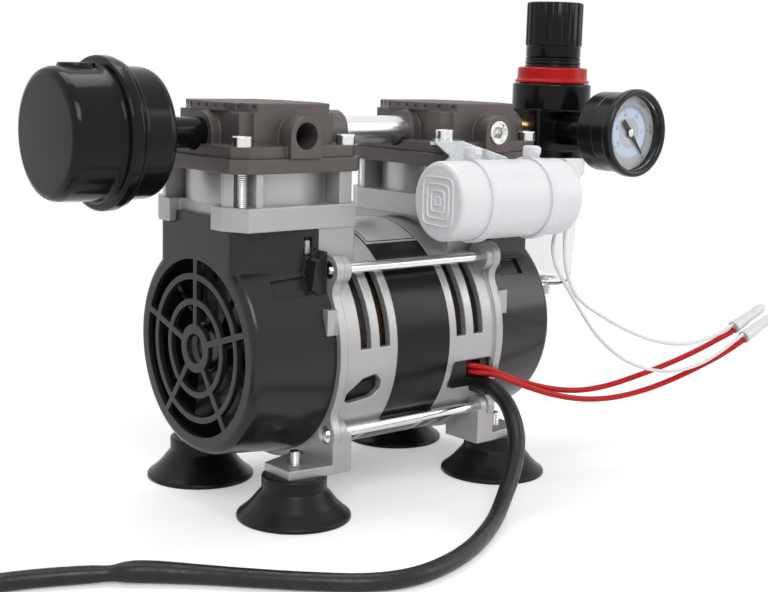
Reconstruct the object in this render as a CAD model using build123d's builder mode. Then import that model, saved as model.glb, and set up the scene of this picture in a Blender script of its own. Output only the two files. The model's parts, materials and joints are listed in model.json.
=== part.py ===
from build123d import *
import math
import os

# Oil-free twin-head rocking-piston vacuum pump, in millimetres.
# X runs along the motor shaft from the silencer end to the regulator end, Z is up,
# and the origin is on the floor, midway between the four suction feet.

os.makedirs("parts", exist_ok=True)

# ---------------------------------------------------------------- driving sizes
fit_gap = 0.05            # radial clearance of a screw or spigot in its hole
running_gap = 0.05        # radial clearance of a shaft in its bearing
seat_gap = 0.3            # gap between neighbouring covers and plates

# motor
shaft_z = 70.9
stator_radius = 52.0
stator_half = 15.5
stator_bore = 28.5
air_gap = 0.5
end_ring_length = 5.0
winding_inner = 32.0
winding_outer = 45.0
winding_overhang = 15.0

# end frames
frame_face = 48.0
web_thickness = 6.0
bell_wall = 3.5
rim_step = 1.2
rim_thickness = 4.0
lobe_radius = 7.0
lobe_core_radius = 6.4
lobe_thickness = 8.0
hub_radius = 20.0
bearing_inset = 2.0
shaft_hole_radius = 8.0
vent_width = 6.0
vent_pitch = 10.6
vent_first = 22.7
vent_top_angle = 43.0
vent_low_start = -44.0
vent_low_end = -74.0
half_turn = 180.0
window_low = 48.5
window_high = 61.5
window_inner = 19.0
window_outer = 43.5
window_corner = 2.0
neck_inner = 28.0
neck_half_width = 35.0
seat_bottom = 125.0
seat_top = 135.0
tab_size = (5.0, 4.0, 11.0)
tab_y = 48.0
tab_z = 86.5
grommet_z = 48.4
grommet_radius = 4.2
grommet_x = 38.0
# outline of the small service opening in the left bell, seen from the front
service_opening = (
    (-42.0, 51.0), (-41.5, 54.5), (-34.0, 60.5), (-27.0, 62.0),
    (-23.5, 59.0), (-23.0, 54.5), (-27.0, 51.0), (-39.0, 49.5),
)

# tie rods
rod_y = 42.7
rod_upper_z = 107.8
rod_lower_z = 35.9
rod_radius = 2.5
rod_head_radius = 4.0
rod_head_length = 3.4
rod_head_recess = 1.0

# feet
foot_pitch_x = 120.0
foot_pitch_y = 75.0
flange_bottom = 19.5
flange_thickness = 4.0
flange_reach = 69.0
leg_front = 49.0
leg_back = 27.0
leg_thickness = 10.0
flange_root_y = 21.0
cup_radius = 25.1
cup_neck_radius = 14.3
cup_neck_z = 12.0
cup_rim_height = 2.6
cup_wall = 3.0
cup_lip = 1.6
stud_radius = 2.5
stud_top = 29.5
stud_chamfer = 0.6

# crank train
shaft_radius = 6.0
shaft_end = 81.0
bearing_radius = 16.0
bearing_width = 10.0
throw = 4.0
eccentric_radius = 10.2
eccentric_width = 12.0
rod_bearing_radius = 19.0
big_end_radius = 23.0
big_end_width = 10.0
beam_width = 12.0
weight_radius = 25.0
weight_width = 4.5
fan_inner_x = 71.5
fan_outer_x = 82.0
fan_hub_radius = 11.0
fan_radius = 39.0
fan_blades = 9
fan_blade_width = 11.0
fan_blade_tilt = 38.0
blade_thickness = 1.6

# heads and cylinders
head_x = 56.0
screw_x = 26.9
screw_y = 28.9
plate_half_x = 34.0
plate_half_y = 36.0
plate_corner = 6.0
seat_corner_y = 11.0
cylinder_bore = 25.0
cylinder_wall = 3.0
barrel_radius = 30.5
pillar_width = 14.0
pillar_inset = 1.5
groove_width = 7.0
cylinder_top = 149.0
plate_thickness = 6.0
flange_height = 5.0
head_top = 177.5
lid_thickness = 3.8
body_half_x = 24.5
body_half_y = 28.0
body_wall = 3.0
port_z = 164.4
port_radius = 5.7
boss_radius = 9.3
boss_left = 29.0
boss_right = 44.0
front_boss_radius = 8.0
front_face = 37.2
chamber_half_y = 20.0
divider_x = 8.0
flange_inset = 1.5
screw_relief = 2.2
neck_relief_radius = 7.4
lid_overhang = 1.0
lid_cut_x = 7.0
lid_cut_y = 15.0
lid_grooves = 9
lid_groove_pitch = 6.4
lid_groove_width = 2.0
lid_groove_depth = 2.4
valve_offset = 12.0
valve_hole_pitch = 7.0
valve_hole_radius = 2.4
reed_thickness = 0.3
reed_width = 8.0
reed_margin = 8.0
screw_radius = 2.5
screw_head_radius = 4.3
screw_head_height = 4.4
piston_radius = 20.4
piston_thickness = 6.0
cup_seal_thickness = 1.5
crown_clearance = 0.7
tube_radius = 6.6
tube_wall = 1.0
tube_insert = 5.0
plug_depth = 8.0
plug_socket = 3.2

# fan covers
cover_face = 87.2
cover_back_radius = 50.5
cover_face_radius = 47.0
cover_wall = 2.4
cover_edge = 4.0
cover_box_face = 29.0
cover_box_back = 36.0
cover_tongue_half = 15.0
cover_tongue_top = 130.0
grille_radii = ((32.9, 39.2), (21.8, 30.3), (10.7, 19.2))
grille_hub_hole = 6.6
spoke_width = 2.6
spokes = 5
recess_x = (55.5, 72.5)
recess_start_angle = 33.0
recess_arc = 10.4
recess_depth = 1.3
hook_window_x = 53.0
hook_window_z = 117.5
hook_window_width = 4.0
hook_window_height = 8.0
# outline of the clip bracket on each side of the box, as (distance behind the frame face, z)
clip_outline = ((0.3, 116.0), (6.0, 112.0), (8.0, 100.0), (5.0, 98.0), (0.3, 95.5))
clip_reach = 42.5
slot_gap = 0.3

# silencer
silencer_z = port_z
can_face = 156.4
can_radius = 26.7
can_ring_start = 134.6
can_ring_end = 126.8
can_ring_radius = 31.3
cap_end = 111.0
cap_radius = 27.4
can_wall = 2.0
stub_x = 142.5
stub_radius = 7.6
stub_bore = 5.0
stub_top = 192.6
nipple_radius = 6.6
nipple_bore = 3.5
thread_length = 5.0
can_edge = 3.0
cap_edge = 2.2
ring_lip = 2.0
ring_groove = 1.2
# slot for the snap clip: x, low z, high z, width, depth
clip_slot = (131.2, 150.0, 171.0, 1.5, 2.4)
felt_radius = 23.2
felt_bore = 9.0

# filter regulator
reg_x = 129.8
reg_body_radius = 20.2
reg_body_top = 187.0
reg_step_z = 174.0
reg_body_bottom = 149.5
reg_port_half = 20.0
reg_block_depth = 21.0
reg_boss_front = 33.0
reg_boss_front_radius = 8.5
bonnet_radius = 14.3
bonnet_neck = 11.4
bonnet_shoulder = 200.0
bonnet_top = 221.0
ring_radius = 17.9
ring_foot_radius = 19.1
ring_top = 195.2
knob_radius = 14.5
knob_gap = 0.4
knob_skirt_height = 5.8
knob_over_bonnet = 7.2
knob_flutes = 20
bowl_collar_radius = 19.0
bowl_collar_bottom = 140.4
bowl_top_radius = 16.6
bowl_low_radius = 14.4
bowl_bottom = 82.5
bowl_wall = 2.0
drain_radius = 3.6
drain_bottom = 76.5
reg_thread = 8.0
reg_port_depth = 9.0
block_corner = 3.0
body_edge = 1.2
collar_step = 1.0
collar_height = 3.0
chamber_radius = 15.5
chamber_depth = 6.0
bowl_neck_depth = 6.0
bonnet_bore = 9.6
bonnet_base = 183.0
bonnet_roof = 3.0
ring_foot_height = 2.0
adjuster_radius = 3.5
adjuster_hex = 3.2
spring_radius = 7.0
spring_wire = 0.9
spring_pitch = 5.5
spring_seat_radius = 8.5
spring_seat_thickness = 2.0
knob_roof = 2.5
knob_socket = 4.5
knob_inner_radius = 11.6
knob_skirt_radius = 14.0
flute_radius = 0.75
drain_bore = 0.8
drain_wing = (2.0, 1.6, 3.5)
drain_neck_radius = 2.6
bowl_foot = 4.0
bowl_shoulder = 3.0
element_radius = 9.5
element_wall = 2.5
element_length = 36.0

# gauge
gauge_z = port_z
gauge_front = -59.3
gauge_back = -36.0
gauge_radius = 21.5
gauge_case_radius = 19.6
gauge_opening = 18.2
dial_y = -53.0
case_thickness = 1.0
bezel_depth = 5.0
gauge_stem_radius = 4.9
gauge_stem_length = 9.0
gauge_hex = 6.0
movement_length = 12.0
spindle_radius = 0.8
spindle_depth = 4.0
spindle_reach = 7.0
needle_gap = 0.8
needle_length = 13.5
needle_tail = 8.0
needle_boss = 2.2
needle_thickness = 0.4
needle_root = 1.2
needle_point = 0.25
lens_thickness = 1.5
lens_inset = 2.0
dial_thickness = 0.8
zero_angle = math.radians(-48)

# capacitor on its bracket
cap_end_place = (-2.0, -60.0)
cap_drop = 23.2
cap_yaw = -4.0
cap_length = 70.0
cap_radius_body = 17.5
cap_edge_radius = 2.0
cap_ring_outer = (14.0, 12.6)
cap_ring_inner = (7.0, 5.8)
cap_ring_height = 0.5
tie_places = (18.5, 53.0)
tie_width = 4.8
tie_thickness = 1.3
tie_head = (6.4, 8.2, 5.4)
bracket_thickness = 1.5
bracket_gap = 0.2
# outline of the upright plate, as (distance along the capacitor, height above the head's flange)
bracket_plate = (
    (10.5, 1.5), (27.0, 1.5), (53.0, -6.0), (60.0, -10.0),
    (60.0, -35.0), (13.0, -35.0), (13.0, -12.0), (20.5, -5.3),
)
# outline of the tab under the head screw, as (x, y)
bracket_tab = (
    (8.6, -42.2), (25.0, -43.3), (34.0, -38.0), (34.0, -33.4),
    (28.6, -33.4), (28.6, -27.0), (23.5, -27.0), (18.0, -34.0),
)
bracket_eye_radius = 5.6
tie_slot = (5.4, 15.0)

# rating plate on the stator
plate_half_length = 15.0
plate_angles = (58.0, 100.0)
rating_thickness = 0.6

# terminal block in the wiring window
terminal_front = 49.0
terminal_back = 44.6
# recess the wires leave from: x, z, length, height, depth
terminal_pocket = (33.6, 56.3, 8.4, 8.2, 3.0)

# closed-end caps that join a red wire with a white wire
joint_mouths = {"a": (187.5, -81.5, 65.0), "b": (187.5, -88.0, 61.0)}
joint_axis = (0.942, 0.0, 0.335)
joint_up = (-0.335, 0.0, 0.942)
joint_length = 26.0
joint_mouth_radius = 3.25
joint_tip_radius = 2.2
red_seat = -1.3
white_seat = 1.9
last_run = 5.0

# wiring
cord_radius = 3.6
red_radius = 1.4
white_radius = 0.85
grommet_outer = 57.0
grommet_tip_radius = 3.9


def joint_point(mouth, up, along):
    """Point beside a cap's mouth, a distance up from its axis and along it."""
    return tuple(m + up * u + along * a for m, u, a in zip(mouth, joint_up, joint_axis))


red_wire_b_points = (
    (33.8, -46.0, 54.6), (36.4, -51.8, 54.6), (42.5, -54.8, 53.6), (50.5, -56.4, 50.2),
    (60.0, -58.0, 46.2), (74.0, -60.8, 41.0), (92.0, -64.3, 36.6), (110.0, -67.8, 35.4),
    (127.0, -71.2, 37.0), (143.0, -75.0, 40.6), (157.0, -79.0, 45.4), (169.0, -83.6, 50.8),
    (176.5, -86.6, 54.9),
    joint_point(joint_mouths["b"], red_seat, -last_run), joint_point(joint_mouths["b"], red_seat, 0),
)
red_wire_a_points = (
    (31.6, -46.0, 58.2), (34.6, -50.6, 57.8), (42.0, -51.6, 55.6), (51.5, -52.4, 51.4),
    (63.0, -54.6, 46.8), (77.0, -58.4, 42.6), (93.0, -62.0, 40.3), (109.0, -65.4, 41.2),
    (126.0, -69.6, 44.8), (142.0, -73.4, 48.9), (156.0, -76.6, 53.0), (168.0, -79.2, 57.1),
    (176.5, -80.9, 60.4),
    joint_point(joint_mouths["a"], red_seat, -last_run), joint_point(joint_mouths["a"], red_seat, 0),
)
white_wire_a_points = (
    (67.9, -65.5, 131.5), (71.5, -66.2, 129.5), (72.6, -67.0, 124.0), (71.4, -67.6, 116.5),
    (71.6, -68.2, 108.0), (73.2, -69.0, 99.5), (77.0, -70.1, 91.0), (84.0, -71.5, 84.9),
    (94.0, -73.0, 79.2), (106.0, -74.8, 72.8), (119.0, -76.6, 67.2), (132.0, -78.0, 63.0),
    (145.0, -79.3, 60.6), (157.0, -80.4, 60.3), (167.0, -81.1, 61.4), (175.2, -81.5, 63.1),
    joint_point(joint_mouths["a"], white_seat, -last_run), joint_point(joint_mouths["a"], white_seat, 0),
)
white_wire_b_points = (
    (67.9, -63.0, 134.0), (71.8, -63.0, 133.0), (73.6, -62.5, 128.0), (72.4, -61.5, 121.0),
    (69.6, -61.6, 113.5), (69.6, -63.6, 105.5), (72.0, -67.0, 97.5), (76.2, -70.4, 89.4),
    (81.5, -72.3, 81.0), (89.0, -73.4, 71.6), (98.0, -74.4, 63.7), (108.5, -75.7, 56.6),
    (120.5, -77.4, 51.4), (134.0, -79.5, 48.1), (147.5, -81.9, 47.7), (159.5, -84.5, 50.3),
    (169.5, -86.6, 54.7), (176.0, -87.7, 57.9),
    joint_point(joint_mouths["b"], white_seat, -last_run), joint_point(joint_mouths["b"], white_seat, 0),
)
power_cord_points = (
    (38.0, -57.0, 48.4), (37.8, -66.6, 46.4), (37.4, -75.4, 40.6), (36.2, -81.4, 32.4),
    (32.4, -86.0, 24.6), (25.5, -90.6, 16.4), (15.5, -96.2, 9.2), (3.0, -103.2, 5.0),
    (-12.0, -112.6, 3.9), (-29.0, -123.6, 3.9), (-48.0, -132.0, 3.9), (-68.0, -134.6, 3.9),
    (-87.0, -127.5, 3.9), (-103.0, -114.0, 3.9), (-119.0, -98.5, 3.9), (-134.0, -82.5, 3.9),
    (-150.0, -69.0, 3.9), (-168.0, -57.0, 3.9), (-188.0, -48.0, 3.9), (-208.0, -42.9, 3.9),
    (-226.0, -41.8, 3.9),
)

# the rest of the cord, in a round coil, and its plug
coil_centre = (-246.6, 2.4)
coil_mid_radius = 40.0
coil_section = 14.4
coil_corner = 3.0
coil_base = 0.3
coil_turns = 3.25
plug_x = -290.2
plug_start_y = 20.0
plug_z = 7.8
plug_sleeve_length = 22.0
plug_body = (27.0, 32.0, 15.0)
plug_corner = 4.0
pin_pitch = 19.0
pin_radius = 2.2
pin_length = 18.0


def keep(builder, name):
    """Label a finished piece and write it as its own file."""
    builder.part.label = name
    export_step(builder.part, f"parts/{name}.step")


rod_points = [(y, z) for y in (-rod_y, rod_y) for z in (rod_lower_z, rod_upper_z)]
screw_points = [(x, y) for x in (-screw_x, screw_x) for y in (-screw_y, screw_y)]
plate_bottom = cylinder_top
plate_top = cylinder_top + plate_thickness
flange_top = plate_top + flange_height
spigot_radius = cylinder_bore + cylinder_wall


def plate_outline(half_x, half_y, cut_x, cut_y):
    """Corner points of a rectangular plate with its four corners cut off."""
    return [
        (half_x - cut_x, -half_y), (half_x, -half_y + cut_y),
        (half_x, half_y - cut_y), (half_x - cut_x, half_y),
        (-half_x + cut_x, half_y), (-half_x, half_y - cut_y),
        (-half_x, -half_y + cut_y), (-half_x + cut_x, -half_y),
    ]


# ------------------------------------------------------------------ end frames
def bell_arc(radius_out, radius_in, start, end, x_from, x_to):
    """Ring segment about the shaft, from one angle above the front horizontal to another."""
    with BuildPart(mode=Mode.PRIVATE) as segment:
        with BuildSketch(Plane.YZ.offset(x_from)):
            with Locations((0, shaft_z)):
                Circle(radius_out)
                Circle(radius_in, mode=Mode.SUBTRACT)
            with BuildLine():
                reach = radius_out * 2
                ray = [(-math.cos(math.radians(a)) * reach, math.sin(math.radians(a)) * reach + shaft_z)
                       for a in (start, (start + end) / 2, end)]
                Polyline((0, shaft_z), *ray, (0, shaft_z))
            make_face(mode=Mode.INTERSECT)
        extrude(amount=x_to - x_from)
    return segment.part


def make_end_frame():
    """The left end frame; the right one is the same casting turned round."""
    with BuildPart() as frame:
        with BuildSketch(Plane.YZ.offset(-frame_face)):
            with Locations((0, shaft_z)):
                Circle(stator_radius)
        extrude(amount=frame_face - stator_half)
        with BuildSketch(Plane.YZ.offset(-frame_face)) as rim:
            with Locations((0, shaft_z)):
                Circle(stator_radius + rim_step)
            with Locations(*rod_points):
                Circle(lobe_radius)
            fillet(rim.vertices(), radius=lobe_radius)
        extrude(amount=rim_thickness)
        with BuildSketch(Plane.YZ.offset(-frame_face)):
            with Locations(*rod_points):
                Circle(lobe_core_radius)
        extrude(amount=lobe_thickness)
        with BuildSketch(Plane.XY.offset(seat_bottom)):
            with Locations((-(frame_face + neck_inner) / 2, 0)):
                Rectangle(frame_face - neck_inner, 2 * neck_half_width)
        extrude(amount=-(seat_bottom - shaft_z) / 2)
        with BuildSketch(Plane.XY.offset(flange_bottom)):
            for side in (-1, 1):
                with BuildLine():
                    Polyline(
                        (-frame_face + leg_thickness, side * leg_back), (-frame_face, side * flange_root_y),
                        (-flange_reach, side * (leg_back + 1)), (-flange_reach, side * (leg_front - 3)),
                        (-frame_face, side * leg_front), (-frame_face + leg_thickness, side * leg_front),
                        close=True)
                make_face()
        extrude(amount=flange_thickness)
        with BuildSketch(Plane.XY.offset(flange_bottom)):
            with Locations(*[(-frame_face + leg_thickness / 2, s * (leg_front + leg_back) / 2) for s in (-1, 1)]):
                Rectangle(leg_thickness, leg_front - leg_back)
        extrude(amount=rod_lower_z - flange_bottom)
        with BuildSketch(Plane.YZ.offset(-frame_face + web_thickness)):
            with Locations((0, shaft_z)):
                Circle(stator_radius - bell_wall)
        extrude(amount=frame_face - web_thickness, mode=Mode.SUBTRACT)
        with BuildSketch(Plane.YZ.offset(-frame_face)):
            with Locations((0, shaft_z)):
                Circle(hub_radius)
        extrude(amount=bearing_width + bearing_inset)
        with BuildSketch(Plane((-head_x, 0, seat_bottom))):
            with BuildLine():
                Polyline(*plate_outline(plate_half_x, plate_half_y, plate_corner, seat_corner_y), close=True)
            make_face()
        extrude(amount=seat_top - seat_bottom)
        with BuildSketch(Plane.XY.offset(seat_bottom)):
            with Locations((-cover_face, 0)):
                Rectangle(2 * (cover_face - head_x - spigot_radius - seat_gap), 2 * cover_tongue_half + 3)
        extrude(amount=seat_top - seat_bottom, mode=Mode.SUBTRACT)
        with Locations(*[(-frame_face - tab_size[0] / 2, s * tab_y, tab_z) for s in (-1, 1)]):
            Box(*tab_size)
        # holes
        with Locations(Plane.YZ.offset(-frame_face)):
            with Locations((0, shaft_z)):
                Hole(shaft_hole_radius, depth=2 * (bearing_width + bearing_inset))
        with BuildSketch(Plane.YZ.offset(-frame_face + bearing_inset)):
            with Locations((0, shaft_z)):
                Circle(bearing_radius + fit_gap)
        extrude(amount=bearing_width + 1, mode=Mode.SUBTRACT)
        with BuildSketch(Plane.YZ.offset(-frame_face)):
            with Locations(*rod_points):
                Circle(rod_radius + fit_gap)
        extrude(amount=leg_thickness, mode=Mode.SUBTRACT)
        with BuildSketch(Plane.YZ.offset(-frame_face)):
            with Locations(*rod_points):
                Circle(rod_head_radius + fit_gap)
        extrude(amount=rod_head_length, mode=Mode.SUBTRACT)
        with BuildSketch(Plane.XY.offset(seat_bottom)):
            with Locations((-head_x, 0)):
                Circle(spigot_radius + fit_gap)
            with Locations(*[(-head_x + x, y) for x, y in screw_points]):
                Circle(screw_radius + fit_gap)
        extrude(amount=seat_top - seat_bottom, mode=Mode.SUBTRACT)
        with BuildSketch(Plane.XY.offset(flange_bottom)):
            with Locations(*[(-foot_pitch_x / 2, s * foot_pitch_y / 2) for s in (-1, 1)]):
                Circle(stud_radius + fit_gap)
        extrude(amount=flange_thickness, mode=Mode.SUBTRACT)
        # vents round the bell, front and back
        for row in range(2):
            middle = vent_first + row * vent_pitch
            for start, end in ((3, vent_top_angle), (vent_low_end, vent_low_start)):
                for low, high in ((start, end), (half_turn - end, half_turn - start)):
                    add(bell_arc(stator_radius + 1, stator_radius - bell_wall - 1, low, high,
                                 -middle - vent_width / 2, -middle + vent_width / 2), mode=Mode.SUBTRACT)
        # wiring window with its grommet notch at the back, service opening at the front
        with BuildSketch(Plane.XZ.offset(-stator_radius - 1)):
            with Locations((-(window_inner + window_outer) / 2, (window_low + window_high) / 2)):
                RectangleRounded(window_outer - window_inner, window_high - window_low, window_corner)
            with Locations((-grommet_x, grommet_z)):
                Circle(grommet_radius + fit_gap)
        extrude(amount=stator_radius / 2, mode=Mode.SUBTRACT)
        with BuildSketch(Plane.XZ.offset(stator_radius + 1)):
            with BuildLine():
                Polyline(*service_opening, close=True)
            make_face()
            fillet(vertices(), radius=1.5)
        extrude(amount=-stator_radius / 2, mode=Mode.SUBTRACT)
    return frame


frame_left = make_end_frame()
keep(frame_left, "end_frame_left")
with BuildPart() as frame_right:
    add(frame_left.part.rotate(Axis.Z, 180))
keep(frame_right, "end_frame_right")

# ----------------------------------------------------------------------- motor
with BuildPart() as stator:
    with BuildSketch(Plane.YZ.offset(-stator_half)):
        with Locations((0, shaft_z)):
            Circle(stator_radius)
            Circle(stator_bore, mode=Mode.SUBTRACT)
    extrude(amount=2 * stator_half)
keep(stator, "stator_core")

with BuildPart() as windings:
    for side in (-1, 1):
        with BuildSketch(Plane.YZ.offset(side * stator_half)):
            with Locations((0, shaft_z)):
                Circle(winding_outer)
                Circle(winding_inner, mode=Mode.SUBTRACT)
        extrude(amount=side * winding_overhang)
    fillet(windings.faces().sort_by(Axis.X)[0].edges() + windings.faces().sort_by(Axis.X)[-1].edges(),
           radius=(winding_outer - winding_inner) / 3)
keep(windings, "stator_windings")

rotor_radius = stator_bore - air_gap
with BuildPart() as rotor:
    with BuildSketch(Plane.YZ.offset(-stator_half)):
        with Locations((0, shaft_z)):
            Circle(rotor_radius)
            Circle(shaft_radius, mode=Mode.SUBTRACT)
    extrude(amount=2 * stator_half)
    for side in (-1, 1):
        with BuildSketch(Plane.YZ.offset(side * stator_half)):
            with Locations((0, shaft_z)):
                Circle(rotor_radius - 1)
                Circle(rotor_radius * 2 / 3, mode=Mode.SUBTRACT)
        extrude(amount=side * end_ring_length)
keep(rotor, "rotor_core")

with BuildPart() as bearings:
    for side in (-1, 1):
        with BuildSketch(Plane.YZ.offset(side * (frame_face - bearing_inset))):
            with Locations((0, shaft_z)):
                Circle(bearing_radius)
                Circle(shaft_radius + running_gap, mode=Mode.SUBTRACT)
        extrude(amount=-side * bearing_width)
keep(bearings, "shaft_bearings")

with BuildPart() as tie_rods:
    with BuildSketch(Plane.YZ.offset(-frame_face)):
        with Locations(*rod_points):
            Circle(rod_radius)
    extrude(amount=2 * frame_face)
    with BuildSketch(Plane.YZ.offset(-frame_face + rod_head_recess)):
        with Locations(*rod_points):
            Circle(rod_head_radius)
    extrude(amount=rod_head_length - rod_head_recess)
    with BuildSketch(Plane.YZ.offset(-frame_face)):
        with Locations(*rod_points):
            Circle(rod_radius)
            RegularPolygon(rod_radius * 0.7, 6, mode=Mode.SUBTRACT)
    extrude(amount=rod_head_recess, mode=Mode.SUBTRACT)
    # nuts at the far end, tight on their threads
    with BuildSketch(Plane.YZ.offset(frame_face - rod_head_length)):
        with Locations(*rod_points):
            Circle(rod_head_radius)
    extrude(amount=rod_head_length - rod_head_recess)
keep(tie_rods, "tie_rods")

# ------------------------------------------------------------------------ feet
with BuildPart() as feet:
    for side_x, side_y in ((-1, -1), (1, -1), (-1, 1), (1, 1)):
        centre = Plane((side_x * foot_pitch_x / 2, side_y * foot_pitch_y / 2, 0),
                       x_dir=(1, 0, 0), z_dir=(0, -1, 0))
        with BuildSketch(centre):
            with BuildLine():
                Polyline(
                    (stud_radius + fit_gap, flange_bottom), (cup_neck_radius, flange_bottom),
                    (cup_neck_radius, cup_neck_z), (cup_radius - 1, cup_rim_height), (cup_radius, 0),
                    (cup_radius - cup_lip, 0), (cup_neck_radius - 2, cup_neck_z - cup_wall - 1),
                    (stud_radius + 3, cup_neck_z - cup_wall), (stud_radius + 3, cup_neck_z - 1),
                    (stud_radius + fit_gap, cup_neck_z - 1), close=True)
            make_face()
        revolve(axis=Axis(centre.origin, (0, 0, 1)))
keep(feet, "suction_feet")

with BuildPart() as studs:
    with BuildSketch(Plane.XY.offset(cup_neck_z - 1)):
        with GridLocations(foot_pitch_x, foot_pitch_y, 2, 2):
            Circle(stud_radius)
    extrude(amount=stud_top - cup_neck_z + 1)
    chamfer(studs.faces().sort_by(Axis.Z)[-4:].edges(), length=stud_chamfer)
keep(studs, "foot_studs")

# ----------------------------------------------------------------- crank train
# The left crank stands at the top of its circle and the right one at the bottom.
throws = {"left": (-head_x, throw), "right": (head_x, -throw)}

with BuildPart() as crankshaft:
    with BuildSketch(Plane.YZ.offset(-shaft_end)):
        with Locations((0, shaft_z)):
            Circle(shaft_radius)
    extrude(amount=2 * shaft_end)
    for crank_x, offset_z in throws.values():
        with BuildSketch(Plane.YZ.offset(crank_x - eccentric_width / 2)):
            with Locations((0, shaft_z + offset_z)):
                Circle(eccentric_radius)
        extrude(amount=eccentric_width)
        outer_x = crank_x + math.copysign(eccentric_width / 2, crank_x)
        with BuildSketch(Plane.YZ.offset(outer_x)):
            with Locations((0, shaft_z)):
                Circle(weight_radius)
                with Locations((0, math.copysign(weight_radius, offset_z))):
                    Rectangle(2 * weight_radius, 2 * weight_radius - shaft_radius * 2, mode=Mode.SUBTRACT)
                Circle(shaft_radius + 3)
        extrude(amount=math.copysign(weight_width, crank_x))
keep(crankshaft, "crankshaft")

for side, (crank_x, offset_z) in throws.items():
    crown_z = cylinder_top - crown_clearance - (0 if offset_z > 0 else 2 * throw)
    crank_z = shaft_z + offset_z
    with BuildPart() as conrod:
        with BuildSketch(Plane.YZ.offset(crank_x - big_end_width / 2)):
            with Locations((0, crank_z)):
                Circle(big_end_radius)
            with Locations((0, (crank_z + crown_z) / 2)):
                Rectangle(beam_width, crown_z - crank_z - piston_thickness)
        extrude(amount=big_end_width)
        with BuildSketch(Plane((crank_x, 0, crown_z - piston_thickness))):
            Circle(piston_radius - 1)
        extrude(amount=piston_thickness - cup_seal_thickness)
        with BuildSketch(Plane((crank_x, 0, crown_z - cup_seal_thickness))):
            Circle(piston_radius / 2)
        extrude(amount=cup_seal_thickness)
        with BuildSketch(Plane.YZ.offset(crank_x - big_end_width / 2)):
            with Locations((0, crank_z)):
                Circle(rod_bearing_radius + fit_gap)
        extrude(amount=big_end_width, mode=Mode.SUBTRACT)
    keep(conrod, f"conrod_{side}")
    with BuildPart() as rod_bearing:
        with BuildSketch(Plane.YZ.offset(crank_x - big_end_width / 2)):
            with Locations((0, crank_z)):
                Circle(rod_bearing_radius)
                Circle(eccentric_radius + running_gap, mode=Mode.SUBTRACT)
        extrude(amount=big_end_width)
    keep(rod_bearing, f"conrod_bearing_{side}")
    with BuildPart() as cup_seal:
        with BuildSketch(Plane((crank_x, 0, crown_z - cup_seal_thickness))):
            Circle(piston_radius)
            Circle(piston_radius / 2, mode=Mode.SUBTRACT)
        extrude(amount=cup_seal_thickness)
    keep(cup_seal, f"piston_cup_{side}")

for side, direction in (("left", -1), ("right", 1)):
    with BuildPart() as fan:
        with BuildSketch(Plane.YZ.offset(direction * fan_inner_x)):
            with Locations((0, shaft_z)):
                Circle(fan_hub_radius)
                Circle(shaft_radius, mode=Mode.SUBTRACT)
        extrude(amount=direction * (fan_outer_x - fan_inner_x))
        blade_middle = direction * (fan_inner_x + fan_outer_x) / 2
        blade_reach = fan_radius - fan_hub_radius + 1
        with Locations(Plane((blade_middle, 0, shaft_z), x_dir=(0, 1, 0), z_dir=(1, 0, 0))):
            with PolarLocations((fan_radius + fan_hub_radius) / 2, fan_blades):
                Box(blade_reach, blade_thickness, fan_blade_width, rotation=(fan_blade_tilt, 0, 0))
    keep(fan, f"cooling_fan_{side}")

# ------------------------------------------------------------ cylinders, heads
head_places = {"left": -head_x, "right": head_x}
barrel_height = cylinder_top - seat_top
# each corner pillar leaves its bolt open on one side, turning round the cylinder
groove_sides = {(-1, -1): (0, -1), (1, -1): (1, 0), (1, 1): (0, 1), (-1, 1): (-1, 0)}


def make_cylinder(centre_x):
    """Ribbed barrel with a spigot that sits in the crankcase."""
    with BuildPart() as cylinder:
        with BuildSketch(Plane((centre_x, 0, seat_bottom + 2))):
            Circle(spigot_radius)
        extrude(amount=cylinder_top - seat_bottom - 2)
        with BuildSketch(Plane((centre_x, 0, seat_top))):
            Circle(barrel_radius)
            with Locations(*screw_points):
                Rectangle(pillar_width, pillar_width)
            with BuildLine():
                Polyline(*plate_outline(plate_half_x - pillar_inset, plate_half_y - pillar_inset,
                                        plate_corner, seat_corner_y), close=True)
            make_face(mode=Mode.INTERSECT)
        extrude(amount=barrel_height)
        with BuildSketch(Plane((centre_x, 0, seat_top))):
            for (side_x, side_y), (open_x, open_y) in groove_sides.items():
                with Locations((side_x * screw_x, side_y * screw_y)):
                    Circle(groove_width / 2)
                with Locations((side_x * screw_x + open_x * groove_width, side_y * screw_y + open_y * groove_width)):
                    Rectangle(groove_width * (1 + abs(open_x)), groove_width * (1 + abs(open_y)))
        extrude(amount=barrel_height, mode=Mode.SUBTRACT)
        with BuildSketch(Plane((centre_x, 0, seat_bottom + 2))):
            Circle(cylinder_bore)
        extrude(amount=cylinder_top - seat_bottom - 2, mode=Mode.SUBTRACT)
    return cylinder


def make_valve_plate(centre_x):
    """Flat plate that carries both reed valves, drilled for gas and for the four screws."""
    with BuildPart() as plate:
        with BuildSketch(Plane((centre_x, 0, plate_bottom))):
            with BuildLine():
                Polyline(*plate_outline(plate_half_x, plate_half_y, plate_corner, plate_corner), close=True)
            make_face()
            with Locations(*screw_points):
                Circle(screw_radius + fit_gap, mode=Mode.SUBTRACT)
            with Locations(*[(s * valve_offset, 0) for s in (-1, 1)]):
                with GridLocations(0, valve_hole_pitch, 1, 3):
                    Circle(valve_hole_radius, mode=Mode.SUBTRACT)
        extrude(amount=plate_thickness)
    return plate


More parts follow.
